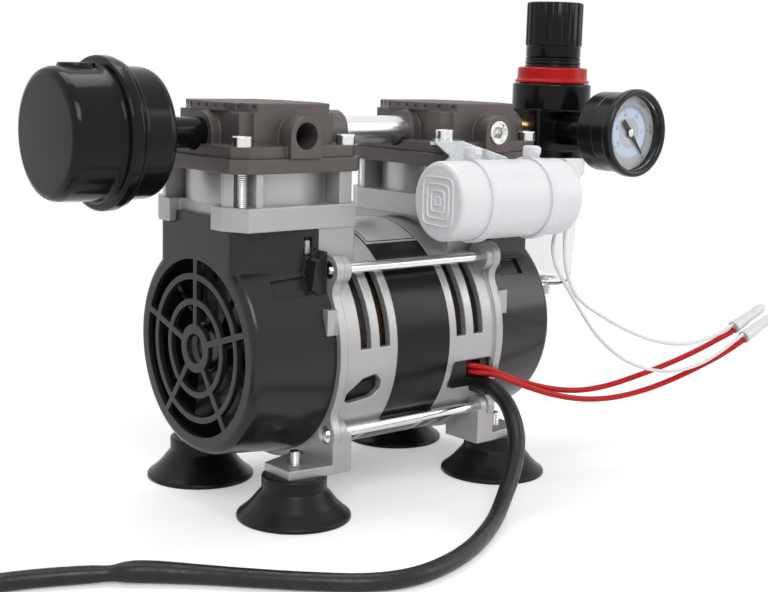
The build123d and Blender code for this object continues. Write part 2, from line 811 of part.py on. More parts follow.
def make_head(centre_x):
    """Cast head: bolting flange, hollow body in two chambers, three ports and a finned lid."""
    with BuildPart() as head:
        with BuildSketch(Plane((centre_x, 0, plate_top))):
            with BuildLine():
                Polyline(*plate_outline(plate_half_x - flange_inset, plate_half_y - flange_inset,
                                        plate_corner, plate_corner), close=True)
            make_face()
        extrude(amount=flange_height)
        with BuildSketch(Plane((centre_x, 0, plate_top))) as body:
            Rectangle(2 * body_half_x, 2 * body_half_y)
            with Locations(*screw_points):
                Circle(screw_head_radius + screw_relief, mode=Mode.SUBTRACT)
        extrude(amount=head_top - lid_thickness - plate_top)
        with BuildSketch(Plane((centre_x, 0, head_top - lid_thickness))):
            with BuildLine():
                Polyline(*plate_outline(body_half_x + lid_overhang, body_half_y, lid_cut_x, lid_cut_y), close=True)
            make_face()
        extrude(amount=lid_thickness)
        with BuildSketch(Plane.YZ.offset(centre_x - boss_left)):
            with Locations((0, port_z)):
                Circle(boss_radius)
            with Locations((0, (port_z + plate_top) / 2)):
                Rectangle(2 * boss_radius, port_z - plate_top)
        extrude(amount=boss_left)
        with BuildSketch(Plane.YZ.offset(centre_x)):
            with Locations((0, port_z)):
                Circle(boss_radius)
        extrude(amount=boss_right)
        with BuildSketch(Plane((centre_x, 0, 0), x_dir=(1, 0, 0), z_dir=(0, -1, 0))):
            with Locations((0, port_z)):
                Circle(front_boss_radius)
            with Locations((0, (port_z + plate_top) / 2)):
                Rectangle(2 * front_boss_radius, port_z - plate_top)
        extrude(amount=front_face)
        # relief in the flange for the pipe that enters the left port
        with BuildSketch(Plane.YZ.offset(centre_x - plate_half_x)):
            with Locations((0, port_z)):
                Circle(neck_relief_radius)
        extrude(amount=plate_half_x - boss_left, mode=Mode.SUBTRACT)
        # cooling grooves across the lid
        with BuildSketch(Plane((centre_x, 0, head_top))):
            with GridLocations(0, lid_groove_pitch, 1, lid_grooves):
                Rectangle(2 * (body_half_x + lid_overhang), lid_groove_width)
        extrude(amount=-lid_groove_depth, mode=Mode.SUBTRACT)
        # the two chambers, open below onto the valve plate
        for low_x, high_x in ((-body_half_x + body_wall, divider_x - body_wall / 2),
                              (divider_x + body_wall / 2, body_half_x - body_wall)):
            with BuildSketch(Plane((centre_x + (low_x + high_x) / 2, 0, plate_top))):
                Rectangle(high_x - low_x, 2 * chamber_half_y)
            extrude(amount=head_top - lid_thickness - 1 - plate_top, mode=Mode.SUBTRACT)
        # ports
        with BuildSketch(Plane.YZ.offset(centre_x - boss_left)):
            with Locations((0, port_z)):
                Circle(port_radius)
        extrude(amount=boss_left - body_half_x + body_wall + 1, mode=Mode.SUBTRACT)
        with BuildSketch(Plane.YZ.offset(centre_x + boss_right)):
            with Locations((0, port_z)):
                Circle(port_radius)
        extrude(amount=-(boss_right - body_half_x + body_wall + 1), mode=Mode.SUBTRACT)
        with BuildSketch(Plane((centre_x, -front_face, 0), x_dir=(1, 0, 0), z_dir=(0, -1, 0))):
            with Locations((0, port_z)):
                Circle(port_radius)
        extrude(amount=-(front_face - chamber_half_y + 1), mode=Mode.SUBTRACT)
        with BuildSketch(Plane((centre_x, 0, plate_top))):
            with Locations(*screw_points):
                Circle(screw_radius + fit_gap)
        extrude(amount=flange_height, mode=Mode.SUBTRACT)
    return head


for side, centre_x in head_places.items():
    keep(make_head(centre_x), f"cylinder_head_{side}")
with BuildPart() as cylinders:
    for centre_x in head_places.values():
        add(make_cylinder(centre_x).part)
keep(cylinders, "cylinders")
with BuildPart() as valve_plates:
    for centre_x in head_places.values():
        add(make_valve_plate(centre_x).part)
keep(valve_plates, "valve_plates")

with BuildPart() as reeds:
    for centre_x in head_places.values():
        for offset_x, base_z in ((-valve_offset, plate_top), (valve_offset, plate_bottom - reed_thickness)):
            with BuildSketch(Plane((centre_x + offset_x, 0, base_z))):
                SlotOverall(2 * valve_hole_pitch + reed_margin, reed_width, rotation=90)
            extrude(amount=reed_thickness)
keep(reeds, "reed_valves")

bracket_screw = (head_x - screw_x, -screw_y)
with BuildPart() as head_screws:
    for centre_x in head_places.values():
        for offset_x, screw_place_y in screw_points:
            place = (centre_x + offset_x, screw_place_y)
            seat_z = flange_top + (bracket_thickness if place == bracket_screw else 0)
            with BuildSketch(Plane((*place, seat_bottom + 1))):
                Circle(screw_radius)
            extrude(amount=seat_z - seat_bottom - 1)
            with BuildSketch(Plane((*place, seat_z))):
                Circle(screw_head_radius)
            extrude(amount=screw_head_height)
            with BuildSketch(Plane((*place, seat_z + screw_head_height))):
                RegularPolygon(screw_radius * 0.9, 6)
            extrude(amount=-screw_head_height * 0.6, mode=Mode.SUBTRACT)
keep(head_screws, "head_screws")

tube_start = -head_x + boss_right
tube_end = head_x - boss_left
with BuildPart() as tube:
    with BuildSketch(Plane.YZ.offset(tube_start)):
        with Locations((0, port_z)):
            Circle(tube_radius)
    extrude(amount=tube_end - tube_start)
    with BuildSketch(Plane.YZ.offset(tube_start - tube_insert)):
        with Locations((0, port_z)):
            Circle(port_radius - fit_gap)
    extrude(amount=tube_end - tube_start + 2 * tube_insert)
    with BuildSketch(Plane.YZ.offset(tube_start - tube_insert)):
        with Locations((0, port_z)):
            Circle(port_radius - tube_wall)
    extrude(amount=tube_end - tube_start + 2 * tube_insert, mode=Mode.SUBTRACT)
keep(tube, "transfer_tube")

with BuildPart() as plug:
    with BuildSketch(Plane((head_x, -front_face + plug_depth, 0), x_dir=(1, 0, 0), z_dir=(0, -1, 0))):
        with Locations((0, port_z)):
            Circle(port_radius - fit_gap)
    extrude(amount=plug_depth + 0.6)
    with BuildSketch(Plane((head_x, -front_face - 0.6, 0), x_dir=(1, 0, 0), z_dir=(0, -1, 0))):
        with Locations((0, port_z)):
            RegularPolygon(plug_socket, 6)
    extrude(amount=-plug_depth / 2, mode=Mode.SUBTRACT)
keep(plug, "port_plug")


# ------------------------------------------------------------------ fan covers
def box_loft(wall, top):
    """Upper box of the cover, narrower at the face than at the frame, shrunk by a wall."""
    with BuildPart(mode=Mode.PRIVATE) as block:
        for plane_x, half_width in ((-frame_face, cover_box_back), (-cover_face + wall, cover_box_face)):
            with BuildSketch(Plane.YZ.offset(plane_x)):
                with Locations((0, (shaft_z + top) / 2)):
                    Rectangle(2 * (half_width - wall), top - shaft_z)
        loft()
    return block.part


def cover_radius(behind):
    """Outer radius of the cover's drum at a distance from the middle of the pump."""
    share = (behind - frame_face) / (cover_face - cover_edge - frame_face)
    return cover_back_radius + share * (cover_face_radius - cover_back_radius)


with BuildPart() as cover_left:
    with BuildSketch(Plane.XZ):
        with BuildLine():
            Polyline(
                (-frame_face, shaft_z), (-frame_face, shaft_z + cover_back_radius),
                (-cover_face + cover_edge, shaft_z + cover_face_radius))
            RadiusArc((-cover_face + cover_edge, shaft_z + cover_face_radius),
                      (-cover_face, shaft_z + cover_face_radius - cover_edge), -cover_edge * 1.05)
            Polyline((-cover_face, shaft_z + cover_face_radius - cover_edge), (-cover_face, shaft_z),
                     (-frame_face, shaft_z))
        make_face()
    revolve(axis=Axis((0, 0, shaft_z), (1, 0, 0)))
    add(box_loft(0, seat_bottom - seat_gap))
    box_edges = cover_left.edges().filter_by(Axis.Z).sort_by(Axis.X)[:2]
    fillet(box_edges, radius=cover_edge)
    with BuildSketch(Plane.XZ):
        with BuildLine():
            Polyline(
                (-frame_face, shaft_z), (-frame_face, shaft_z + cover_back_radius - cover_wall),
                (-cover_face + cover_edge, shaft_z + cover_face_radius - cover_wall),
                (-cover_face + cover_wall, shaft_z + cover_face_radius - cover_edge),
                (-cover_face + cover_wall, shaft_z), close=True)
        make_face()
    revolve(axis=Axis((0, 0, shaft_z), (1, 0, 0)), mode=Mode.SUBTRACT)
    add(box_loft(cover_wall, seat_bottom + 3), mode=Mode.SUBTRACT)
    # tongue that closes the gap between the crankcase ears
    with BuildSketch(Plane.YZ.offset(-cover_face)):
        with Locations((0, (shaft_z + cover_face_radius + cover_tongue_top) / 2)):
            Rectangle(2 * cover_tongue_half, cover_tongue_top - shaft_z - cover_face_radius)
    extrude(amount=cover_wall)
    # grille
    with BuildSketch(Plane.YZ.offset(-cover_face)):
        with Locations((0, shaft_z)):
            for inner, outer in grille_radii:
                with BuildSketch(mode=Mode.PRIVATE) as ring:
                    Circle(outer)
                    Circle(inner, mode=Mode.SUBTRACT)
                    with PolarLocations(outer / 2, spokes, start_angle=90):
                        Rectangle(outer, spoke_width, mode=Mode.SUBTRACT)
                add(ring.sketch)
            Circle(grille_hub_hole)
    extrude(amount=cover_wall, mode=Mode.SUBTRACT)
    for side in (-1, 1):
        # finger recess in the side of the drum
        tilt = math.radians(recess_start_angle)
        with BuildSketch(Plane((0, 0, shaft_z), x_dir=(1, 0, 0),
                               z_dir=(0, -math.sin(tilt), side * math.cos(tilt)))):
            with BuildLine():
                Polyline(*[(-x, cover_radius(x) + depth) for x, depth in (
                    (recess_x[0], -recess_depth), (recess_x[1], -recess_depth),
                    (recess_x[1], recess_depth), (recess_x[0], recess_depth))], close=True)
            make_face()
        revolve(axis=Axis((0, 0, shaft_z), (side, 0, 0)), revolution_arc=recess_arc, mode=Mode.SUBTRACT)
        # window over the frame's hook
        with BuildSketch(Plane.XZ.offset(-side * (cover_box_back + 1))):
            with Locations((-hook_window_x, hook_window_z)):
                Rectangle(hook_window_width, hook_window_height)
        extrude(amount=side * cover_wall * 2, mode=Mode.SUBTRACT)
        # clip bracket
        with BuildSketch(Plane.XZ.offset(-side * (cover_box_back - cover_wall))):
            with BuildLine():
                Polyline(*[(-frame_face - behind, z) for behind, z in clip_outline], close=True)
            make_face()
        extrude(amount=-side * (clip_reach - cover_box_back + cover_wall))
        # slot for the frame's tab
        with BuildSketch(Plane.YZ.offset(-frame_face - tab_size[0] - slot_gap)):
            with Locations((side * tab_y, tab_z)):
                Rectangle(tab_size[1] + 2 * slot_gap, tab_size[2] + 2 * slot_gap)
        extrude(amount=tab_size[0] + slot_gap, mode=Mode.SUBTRACT)
keep(cover_left, "fan_cover_left")
with BuildPart() as cover_right:
    add(cover_left.part.rotate(Axis.Z, 180))
keep(cover_right, "fan_cover_right")

# -------------------------------------------------------------------- silencer
silencer_axis = Axis((0, 0, silencer_z), (1, 0, 0))
silencer_plane = Plane((0, 0, silencer_z), x_dir=(1, 0, 0), z_dir=(0, -1, 0))


def turned(axis, plane, points):
    """Solid of revolution from the corner points of its profile."""
    with BuildPart() as piece:
        with BuildSketch(plane):
            with BuildLine():
                Polyline(*points, close=True)
            make_face()
        revolve(axis=axis)
    return piece


ring_end = can_ring_end + ring_lip
head_left_face = -head_x - boss_left
head_right_face = head_x + boss_right
can_turned = turned(silencer_axis, silencer_plane, [
    (-can_face, 0), (-can_face, can_radius - can_edge),
    (-can_face + can_edge * 0.3, can_radius - can_edge * 0.3), (-can_face + can_edge, can_radius),
    (-can_ring_start, can_radius + 0.6), (-can_ring_start, can_ring_radius),
    (-ring_end, can_ring_radius), (-ring_end, cap_radius - can_wall),
    (-can_ring_start, can_radius - can_wall), (-can_face + can_wall, can_radius - can_wall),
    (-can_face + can_wall, 0),
])
stub_length = stub_top - silencer_z - can_radius
with BuildPart() as can:
    add(can_turned.part)
    with BuildSketch(Plane((-stub_x, 0, stub_top))):
        Circle(stub_radius)
    extrude(amount=-stub_length - can_wall / 2)
    with BuildSketch(Plane((-stub_x, 0, stub_top))):
        Circle(stub_bore)
    extrude(amount=-stub_length - 2 * can_wall, mode=Mode.SUBTRACT)
    # clip slot in the ring
    slot_x, slot_low, slot_high, slot_width, slot_depth = clip_slot
    with Locations((-slot_x, -can_ring_radius, (slot_low + slot_high) / 2)):
        Box(slot_width, 2 * slot_depth, slot_high - slot_low, mode=Mode.SUBTRACT)
keep(can, "silencer_can")

keep(turned(silencer_axis, silencer_plane, [
    (-ring_end, can_ring_radius - ring_groove), (-can_ring_end, can_ring_radius - ring_groove),
    (-can_ring_end, cap_radius), (-cap_end - cap_edge, cap_radius - 0.4), (-cap_end, cap_radius - cap_edge),
    # stem that screws into the left head
    (-cap_end, nipple_radius), (head_left_face, nipple_radius), (head_left_face, port_radius - fit_gap),
    (head_left_face + thread_length, port_radius - fit_gap), (head_left_face + thread_length, nipple_bore),
    (-cap_end - can_wall, nipple_bore), (-cap_end - can_wall, cap_radius - 2 * can_wall),
    (-ring_end, cap_radius - can_wall),
]), "silencer_cap")

with BuildPart() as felt:
    with BuildSketch(Plane.YZ.offset(-can_face + can_wall)):
        with Locations((0, silencer_z)):
            Circle(felt_radius)
            Circle(felt_bore, mode=Mode.SUBTRACT)
    extrude(amount=can_face - cap_end - 2 * can_wall)
keep(felt, "silencer_felt")

# --------------------------------------------------------------- brass nipple
reg_left_face = reg_x - reg_port_half
# stretches of the nipple: (from x, to x, radius)
nipple_parts = (
    (head_right_face - thread_length, head_right_face, port_radius - fit_gap),
    (head_right_face, reg_left_face, nipple_radius),
    (reg_left_face, reg_left_face + reg_thread, port_radius - fit_gap),
)
with BuildPart() as nipple:
    for from_x, to_x, radius in nipple_parts:
        with BuildSketch(Plane.YZ.offset(from_x)):
            with Locations((0, port_z)):
                Circle(radius)
        extrude(amount=to_x - from_x)
    with BuildSketch(Plane.YZ.offset(head_right_face - thread_length)):
        with Locations((0, port_z)):
            Circle(nipple_bore)
    extrude(amount=reg_left_face + reg_thread - head_right_face + thread_length, mode=Mode.SUBTRACT)
keep(nipple, "pipe_nipple")

# ------------------------------------------------------------ filter regulator
reg_axis = Axis((reg_x, 0, 0), (0, 0, 1))
reg_plane = Plane((reg_x, 0, 0), x_dir=(1, 0, 0), z_dir=(0, -1, 0))


def front_plane(y):
    """Plane facing the front at the regulator's middle and the gauge's height."""
    return Plane((reg_x, y, gauge_z), x_dir=(1, 0, 0), z_dir=(0, -1, 0))


with BuildPart() as reg_body:
    with BuildSketch(Plane((reg_x, 0, reg_step_z))):
        Circle(reg_body_radius)
    extrude(amount=reg_body_top - reg_step_z)
    fillet(reg_body.faces().sort_by(Axis.Z)[-1].edges(), radius=body_edge)
    with BuildSketch(Plane((reg_x, 0, reg_body_bottom))):
        RectangleRounded(2 * reg_port_half, reg_block_depth, block_corner)
    extrude(amount=reg_step_z - reg_body_bottom)
    with BuildSketch(Plane((reg_x, 0, reg_body_bottom))):
        Circle(bowl_collar_radius - collar_step)
    extrude(amount=collar_height)
    with BuildSketch(front_plane(-reg_boss_front)):
        Circle(reg_boss_front_radius)
    extrude(amount=-reg_boss_front)
    # air ways: side ports, gauge socket, spring chamber and bowl neck
    for direction in (-1, 1):
        with BuildSketch(Plane.YZ.offset(reg_x + direction * reg_port_half)):
            with Locations((0, port_z)):
                Circle(port_radius)
        extrude(amount=-direction * reg_port_depth, mode=Mode.SUBTRACT)
    with BuildSketch(front_plane(-reg_boss_front)):
        Circle(gauge_stem_radius + fit_gap)
    extrude(amount=-gauge_stem_length, mode=Mode.SUBTRACT)
    with BuildSketch(Plane((reg_x, 0, reg_body_top))):
        Circle(chamber_radius + fit_gap)
    extrude(amount=-chamber_depth, mode=Mode.SUBTRACT)
    with BuildSketch(Plane((reg_x, 0, reg_body_bottom))):
        Circle(element_radius - element_wall)
    extrude(amount=bowl_neck_depth, mode=Mode.SUBTRACT)
keep(reg_body, "regulator_body")

keep(turned(reg_axis, reg_plane, [
    (bonnet_bore, bonnet_base), (chamber_radius, bonnet_base), (chamber_radius, reg_body_top),
    (ring_radius - 1, reg_body_top), (bonnet_radius, reg_body_top + ring_foot_height),
    (bonnet_radius, bonnet_shoulder), (bonnet_neck, bonnet_shoulder), (bonnet_neck, bonnet_top),
    (adjuster_radius, bonnet_top), (adjuster_radius, bonnet_top - bonnet_roof),
    (bonnet_bore, bonnet_top - bonnet_roof),
]), "regulator_bonnet")

ring_foot_top = reg_body_top + ring_foot_height
keep(turned(reg_axis, reg_plane, [
    (bonnet_radius + fit_gap, ring_foot_top + seat_gap), (ring_radius - 1, reg_body_top + seat_gap),
    (ring_foot_radius, reg_body_top + seat_gap), (ring_foot_radius, ring_foot_top - 0.6),
    (ring_radius, ring_foot_top + 0.2), (ring_radius, ring_top - 0.8),
    (ring_radius - 0.8, ring_top), (bonnet_radius + fit_gap, ring_top),
]), "regulator_ring_nut")

knob_top = bonnet_top + knob_over_bonnet
spring_bottom = reg_body_top - chamber_depth
spring_top = bonnet_top - bonnet_roof - 2 * spring_seat_thickness
with BuildPart() as spring:
    with BuildLine():
        Helix(pitch=spring_pitch, height=spring_top - spring_bottom - 2 * spring_wire, radius=spring_radius,
              center=(reg_x, 0, spring_bottom + spring_wire))
    with BuildSketch(Plane((reg_x + spring_radius, 0, spring_bottom + spring_wire),
                           x_dir=(1, 0, 0), z_dir=(0, 1, 0))):
        Circle(spring_wire)
    sweep(is_frenet=True)
keep(spring, "regulator_spring")

with BuildPart() as adjusting_screw:
    with BuildSketch(Plane((reg_x, 0, spring_top))):
        Circle(spring_seat_radius)
    extrude(amount=spring_seat_thickness)
    with BuildSketch(Plane((reg_x, 0, spring_top))):
        Circle(adjuster_radius - running_gap)
    extrude(amount=bonnet_top - spring_top)
    with BuildSketch(Plane((reg_x, 0, bonnet_top))):
        RegularPolygon(adjuster_hex, 6)
    extrude(amount=knob_top - knob_roof - seat_gap - bonnet_top)
keep(adjusting_screw, "adjusting_screw")

knob_bottom = bonnet_shoulder + knob_gap
knob_skirt_top = knob_bottom + knob_skirt_height
with BuildPart() as knob:
    with BuildSketch(Plane((reg_x, 0, knob_bottom))):
        Circle(knob_skirt_radius)
    extrude(amount=knob_skirt_top - knob_bottom)
    with BuildSketch(Plane((reg_x, 0, knob_skirt_top))):
        Circle(knob_radius)
        with PolarLocations(knob_radius, knob_flutes):
            Circle(flute_radius, mode=Mode.SUBTRACT)
    extrude(amount=knob_top - knob_skirt_top)
    with BuildSketch(Plane((reg_x, 0, knob_bottom))):
        Circle(knob_inner_radius)
    extrude(amount=knob_top - knob_roof - knob_bottom - knob_socket, mode=Mode.SUBTRACT)
    with BuildSketch(Plane((reg_x, 0, knob_top - knob_roof - knob_socket))):
        RegularPolygon(adjuster_radius, 6)
    extrude(amount=knob_socket, mode=Mode.SUBTRACT)
keep(knob, "regulator_knob")

bowl_rim = reg_body_bottom - seat_gap / 3
drain_hole = drain_neck_radius + running_gap
keep(turned(reg_axis, reg_plane, [
    (bowl_collar_radius, bowl_rim), (bowl_collar_radius, bowl_collar_bottom),
    (bowl_top_radius, bowl_collar_bottom - bowl_shoulder), (bowl_low_radius, bowl_bottom + bowl_foot),
    (bowl_low_radius - 3, bowl_bottom), (drain_hole, bowl_bottom), (drain_hole, bowl_bottom + bowl_wall),
    (bowl_low_radius - bowl_foot, bowl_bottom + bowl_wall),
    (bowl_low_radius - bowl_wall, bowl_bottom + bowl_foot + 1),
    (bowl_top_radius - bowl_wall, bowl_collar_bottom - bowl_shoulder), (bowl_top_radius - bowl_wall, bowl_rim),
]), "filter_bowl")

with BuildPart() as element:
    with BuildSketch(Plane((reg_x, 0, reg_body_bottom))):
        Circle(element_radius)
        Circle(element_radius - element_wall, mode=Mode.SUBTRACT)
    extrude(amount=-element_length)
keep(element, "filter_element")

wing_length, wing_width, wing_height = drain_wing
with BuildPart() as drain:
    with BuildSketch(Plane((reg_x, 0, drain_bottom))):
        Circle(drain_radius)
    extrude(amount=bowl_bottom - 2 * running_gap - drain_bottom)
    with BuildSketch(Plane((reg_x, 0, drain_bottom))):
        Circle(drain_neck_radius)
    extrude(amount=bowl_bottom + bowl_wall + 1 - drain_bottom)
    with BuildSketch(Plane((reg_x, 0, drain_bottom))):
        Circle(drain_bore)
    extrude(amount=wing_height, mode=Mode.SUBTRACT)
    with BuildSketch(Plane((reg_x, 0, drain_bottom))):
        with GridLocations(2 * drain_radius, 0, 2, 1):
            Rectangle(wing_length, wing_width)
    extrude(amount=wing_height)
keep(drain, "drain_cock")

# ----------------------------------------------------------------------- gauge
gauge_axis = Axis((reg_x, 0, gauge_z), (0, -1, 0))
gauge_plane = Plane((reg_x, 0, gauge_z), x_dir=(1, 0, 0), z_dir=(0, 0, 1))
case_inner = gauge_case_radius - case_thickness
stem_hole = gauge_stem_radius + fit_gap
lens_front = gauge_front + lens_inset
lens_back = lens_front + lens_thickness

# profiles are (radius, y)
keep(turned(gauge_axis, gauge_plane, [
    (stem_hole, gauge_back), (gauge_case_radius, gauge_back),
    (gauge_case_radius + 0.4, gauge_front + bezel_depth), (gauge_radius, gauge_front + bezel_depth),
    (gauge_radius, gauge_front + 1), (gauge_radius - 1, gauge_front), (gauge_opening, gauge_front),
    (gauge_opening, lens_front), (case_inner, lens_front), (case_inner, gauge_back - case_thickness),
    (stem_hole, gauge_back - case_thickness),
]), "gauge_case")
keep(turned(gauge_axis, gauge_plane, [
    (0, lens_front), (case_inner - fit_gap, lens_front), (case_inner - fit_gap, lens_back), (0, lens_back),
]), "gauge_lens")
spindle_hole = spindle_radius + running_gap
keep(turned(gauge_axis, gauge_plane, [
    (spindle_hole, dial_y), (case_inner - fit_gap, dial_y),
    (case_inner - fit_gap, dial_y + dial_thickness), (spindle_hole, dial_y + dial_thickness),
]), "gauge_dial")

movement_face = gauge_back - movement_length
with BuildPart() as movement:
    with BuildSketch(front_plane(-reg_boss_front + gauge_stem_length)):
        Circle(gauge_stem_radius)
    extrude(amount=gauge_stem_length - reg_boss_front - movement_face)
    with BuildSketch(front_plane(-reg_boss_front)):
        RegularPolygon(gauge_hex, 6, major_radius=False)
    extrude(amount=-reg_boss_front - gauge_back)
    with BuildSketch(front_plane(gauge_back - case_thickness)):
        Rectangle(gauge_hex * 2, gauge_hex * 3)
    extrude(amount=movement_length - case_thickness)
    with BuildSketch(front_plane(movement_face)):
        Circle(spindle_hole)
    extrude(amount=-spindle_depth, mode=Mode.SUBTRACT)
keep(movement, "gauge_movement")

# the pointer rests at the zero mark, lower right on the dial
reach = (math.cos(zero_angle), math.sin(zero_angle))
across = (-reach[1], reach[0])
pointer = [(needle_length, needle_point), (0, needle_root), (-needle_tail, needle_root),
           (-needle_tail, -needle_root), (0, -needle_root), (needle_length, -needle_point)]
with BuildPart() as needle:
    with BuildSketch(front_plane(dial_y - needle_gap)):
        with BuildLine():
            Polyline(*[(a * reach[0] + b * across[0], a * reach[1] + b * across[1]) for a, b in pointer], close=True)
        make_face()
        Circle(needle_boss)
    extrude(amount=needle_thickness)
    with BuildSketch(front_plane(dial_y - needle_gap - needle_thickness)):
        Circle(spindle_radius)
    extrude(amount=-needle_gap - needle_thickness - spindle_reach)
keep(needle, "gauge_needle")

# ------------------------------------------------------------------- capacitor
cap_left = (*cap_end_place, flange_top - cap_drop)
yaw = math.radians(cap_yaw)
cap_direction = (math.cos(yaw), math.sin(yaw), 0)
cap_back = (-math.sin(yaw), math.cos(yaw), 0)


def cap_plane(along):
    """Plane across the capacitor at a distance from its left end."""
    origin = tuple(c + along * d for c, d in zip(cap_left, cap_direction))
    return Plane(origin, x_dir=cap_back, z_dir=cap_direction)


with BuildPart() as capacitor:
    with BuildSketch(cap_plane(0)):
        Circle(cap_radius_body)
    extrude(amount=cap_length)
    fillet(capacitor.edges().filter_by(GeomType.CIRCLE), radius=cap_edge_radius)
    with BuildSketch(cap_plane(0)):
        for outer, inner in (cap_ring_outer, cap_ring_inner):
            Circle(outer)
            Circle(inner, mode=Mode.SUBTRACT)
    extrude(amount=-cap_ring_height)
keep(capacitor, "run_capacitor")

head_length, head_width, head_height = tie_head
with BuildPart() as ties:
    for along in tie_places:
        with BuildSketch(cap_plane(along - tie_width / 2)):
            Circle(cap_radius_body + fit_gap + tie_thickness)
            Circle(cap_radius_body + fit_gap, mode=Mode.SUBTRACT)
        extrude(amount=tie_width)
        with BuildSketch(cap_plane(along - head_length / 2)):
            with Locations((0, cap_radius_body + tie_thickness / 2 + head_height / 2)):
                Rectangle(head_width, head_height)
        extrude(amount=head_length)
keep(ties, "cable_ties")

plate_back = cap_radius_body + bracket_gap
plate_origin = tuple(c + plate_back * b for c, b in zip(cap_left, cap_back))
with BuildPart() as bracket:
    with BuildSketch(Plane((plate_origin[0], plate_origin[1], 0), x_dir=cap_direction,
                           z_dir=tuple(-b for b in cap_back))):
        with BuildLine():
            Polyline(*[(along, flange_top + height) for along, height in bracket_plate], close=True)
        make_face()
        with Locations(*[(along, cap_left[2]) for along in tie_places]):
            Rectangle(*tie_slot, mode=Mode.SUBTRACT)
    extrude(amount=-bracket_thickness)
    with BuildSketch(Plane.XY.offset(flange_top)):
        with BuildLine():
            Polyline(*bracket_tab, close=True)
        make_face()
        with Locations(bracket_screw):
            Circle(bracket_eye_radius)
            Circle(screw_radius + fit_gap, mode=Mode.SUBTRACT)
    extrude(amount=bracket_thickness)
keep(bracket, "capacitor_bracket")

# ---------------------------------------------------- rating plate, terminals
with BuildPart() as rating_plate:
    add(bell_arc(stator_radius + rating_thickness, stator_radius, *plate_angles,
                 -plate_half_length, plate_half_length))
keep(rating_plate, "rating_plate")

pocket_x, pocket_z, pocket_length, pocket_height, pocket_depth = terminal_pocket
window_middle = ((window_inner + window_outer) / 2, (window_low + window_high) / 2)
with BuildPart() as terminals:
    with BuildSketch(Plane.XZ.offset(terminal_back)):
        with Locations(window_middle):
            RectangleRounded(window_outer - window_inner - 2 * fit_gap, window_high - window_low - 2 * fit_gap,
                             window_corner)
        with Locations((grommet_x, grommet_z)):
            Circle(grommet_radius + fit_gap, mode=Mode.SUBTRACT)
    extrude(amount=terminal_front - terminal_back)
    with BuildSketch(Plane.XZ.offset(terminal_front)):
        with Locations((pocket_x, pocket_z)):
            Rectangle(pocket_length, pocket_height)
    extrude(amount=-pocket_depth, mode=Mode.SUBTRACT)
keep(terminals, "terminal_block")

keep(turned(Axis((grommet_x, 0, grommet_z), (0, -1, 0)),
            Plane((grommet_x, 0, grommet_z), x_dir=(1, 0, 0), z_dir=(0, 0, 1)),
            [(0, -terminal_back), (grommet_radius, -terminal_back), (grommet_radius, -terminal_front - 1),
             (grommet_tip_radius, -grommet_outer), (0, -grommet_outer)]), "cord_grommet")


# -------------------------------------------------------------- wires and cord
def bend_radii(points):
    """The largest even bend that the two runs at each corner allow."""
    radii = []
    for before, corner, after in zip(points, points[1:], points[2:]):
        first = Vector(*corner) - Vector(*before)
        second = Vector(*after) - Vector(*corner)
        turn = math.radians(first.get_angle(second))
        radii.append(0.45 * min(first.length, second.length) / math.tan(turn / 2))
    return radii


def make_cord(name, points, radius):
    """Round tube along straight runs joined by tangent bends."""
    radii = bend_radii(points)
    with BuildPart() as cord:
        with BuildLine() as path:
            FilletPolyline(*points, radius=radii)
        with BuildSketch(Plane(points[0], z_dir=Vector(*points[1]) - Vector(*points[0]))):
            Circle(radius)
        sweep()
    length = path.wire().length
    print(name, "length", round(length, 1), "volume over section x length",
          round(cord.part.volume / (math.pi * radius ** 2 * length), 4),
          "radii", [round(r, 1) for r in radii])
    return cord


keep(make_cord("red_wire_a", red_wire_a_points, red_radius), "red_wire_a")
keep(make_cord("red_wire_b", red_wire_b_points, red_radius), "red_wire_b")
keep(make_cord("white_wire_a", white_wire_a_points, white_radius), "white_wire_a")
keep(make_cord("white_wire_b", white_wire_b_points, white_radius), "white_wire_b")

with BuildPart() as joints:
    for mouth in joint_mouths.values():
        with BuildSketch(Plane(mouth, z_dir=joint_axis)):
            Circle(joint_mouth_radius)
        with BuildSketch(Plane(joint_point(mouth, 0, joint_length), z_dir=joint_axis)):
            Circle(joint_tip_radius)
        loft()
keep(joints, "closed_end_joints")

coil_half = coil_section / 2
coil_plane = Plane((*coil_centre, 0), x_dir=(1, 0, 0), z_dir=(0, -1, 0))
with BuildPart() as coil:
    with BuildSketch(coil_plane):
        with Locations((coil_mid_radius, coil_base + coil_half)):
            RectangleRounded(coil_section, coil_section, coil_corner)
    revolve(axis=Axis((*coil_centre, 0), (0, 0, 1)))
keep(coil, "power_cord_coil")
print("coil length", round(2 * math.pi * coil_mid_radius * coil_turns, 1))

cord_tube = make_cord("power_cord", power_cord_points, cord_radius)
with BuildPart() as power_cord:
    add(cord_tube.part)
    add(coil.part, mode=Mode.SUBTRACT)
keep(power_cord, "power_cord")

with BuildPart() as mains_plug:
    with BuildSketch(Plane((plug_x, plug_start_y, plug_z), x_dir=(1, 0, 0), z_dir=(0, 1, 0))):
        Circle(cord_radius)
    with BuildSketch(Plane((plug_x, plug_start_y + plug_sleeve_length, plug_z), x_dir=(1, 0, 0), z_dir=(0, 1, 0))):
        Circle(cord_radius * 1.5)
    loft()
    with BuildSketch(Plane((plug_x, plug_start_y + plug_sleeve_length, plug_z), x_dir=(1, 0, 0), z_dir=(0, 1, 0))):
        RectangleRounded(plug_body[0], plug_body[2], plug_corner)
    extrude(amount=plug_body[1])
    with BuildSketch(Plane((plug_x, plug_start_y + plug_sleeve_length + plug_body[1], plug_z),
                           x_dir=(1, 0, 0), z_dir=(0, 1, 0))):
        with GridLocations(pin_pitch, 0, 2, 1):
            Circle(pin_radius)
    extrude(amount=pin_length)
    add(coil.part, mode=Mode.SUBTRACT)
keep(mains_plug, "mains_plug")
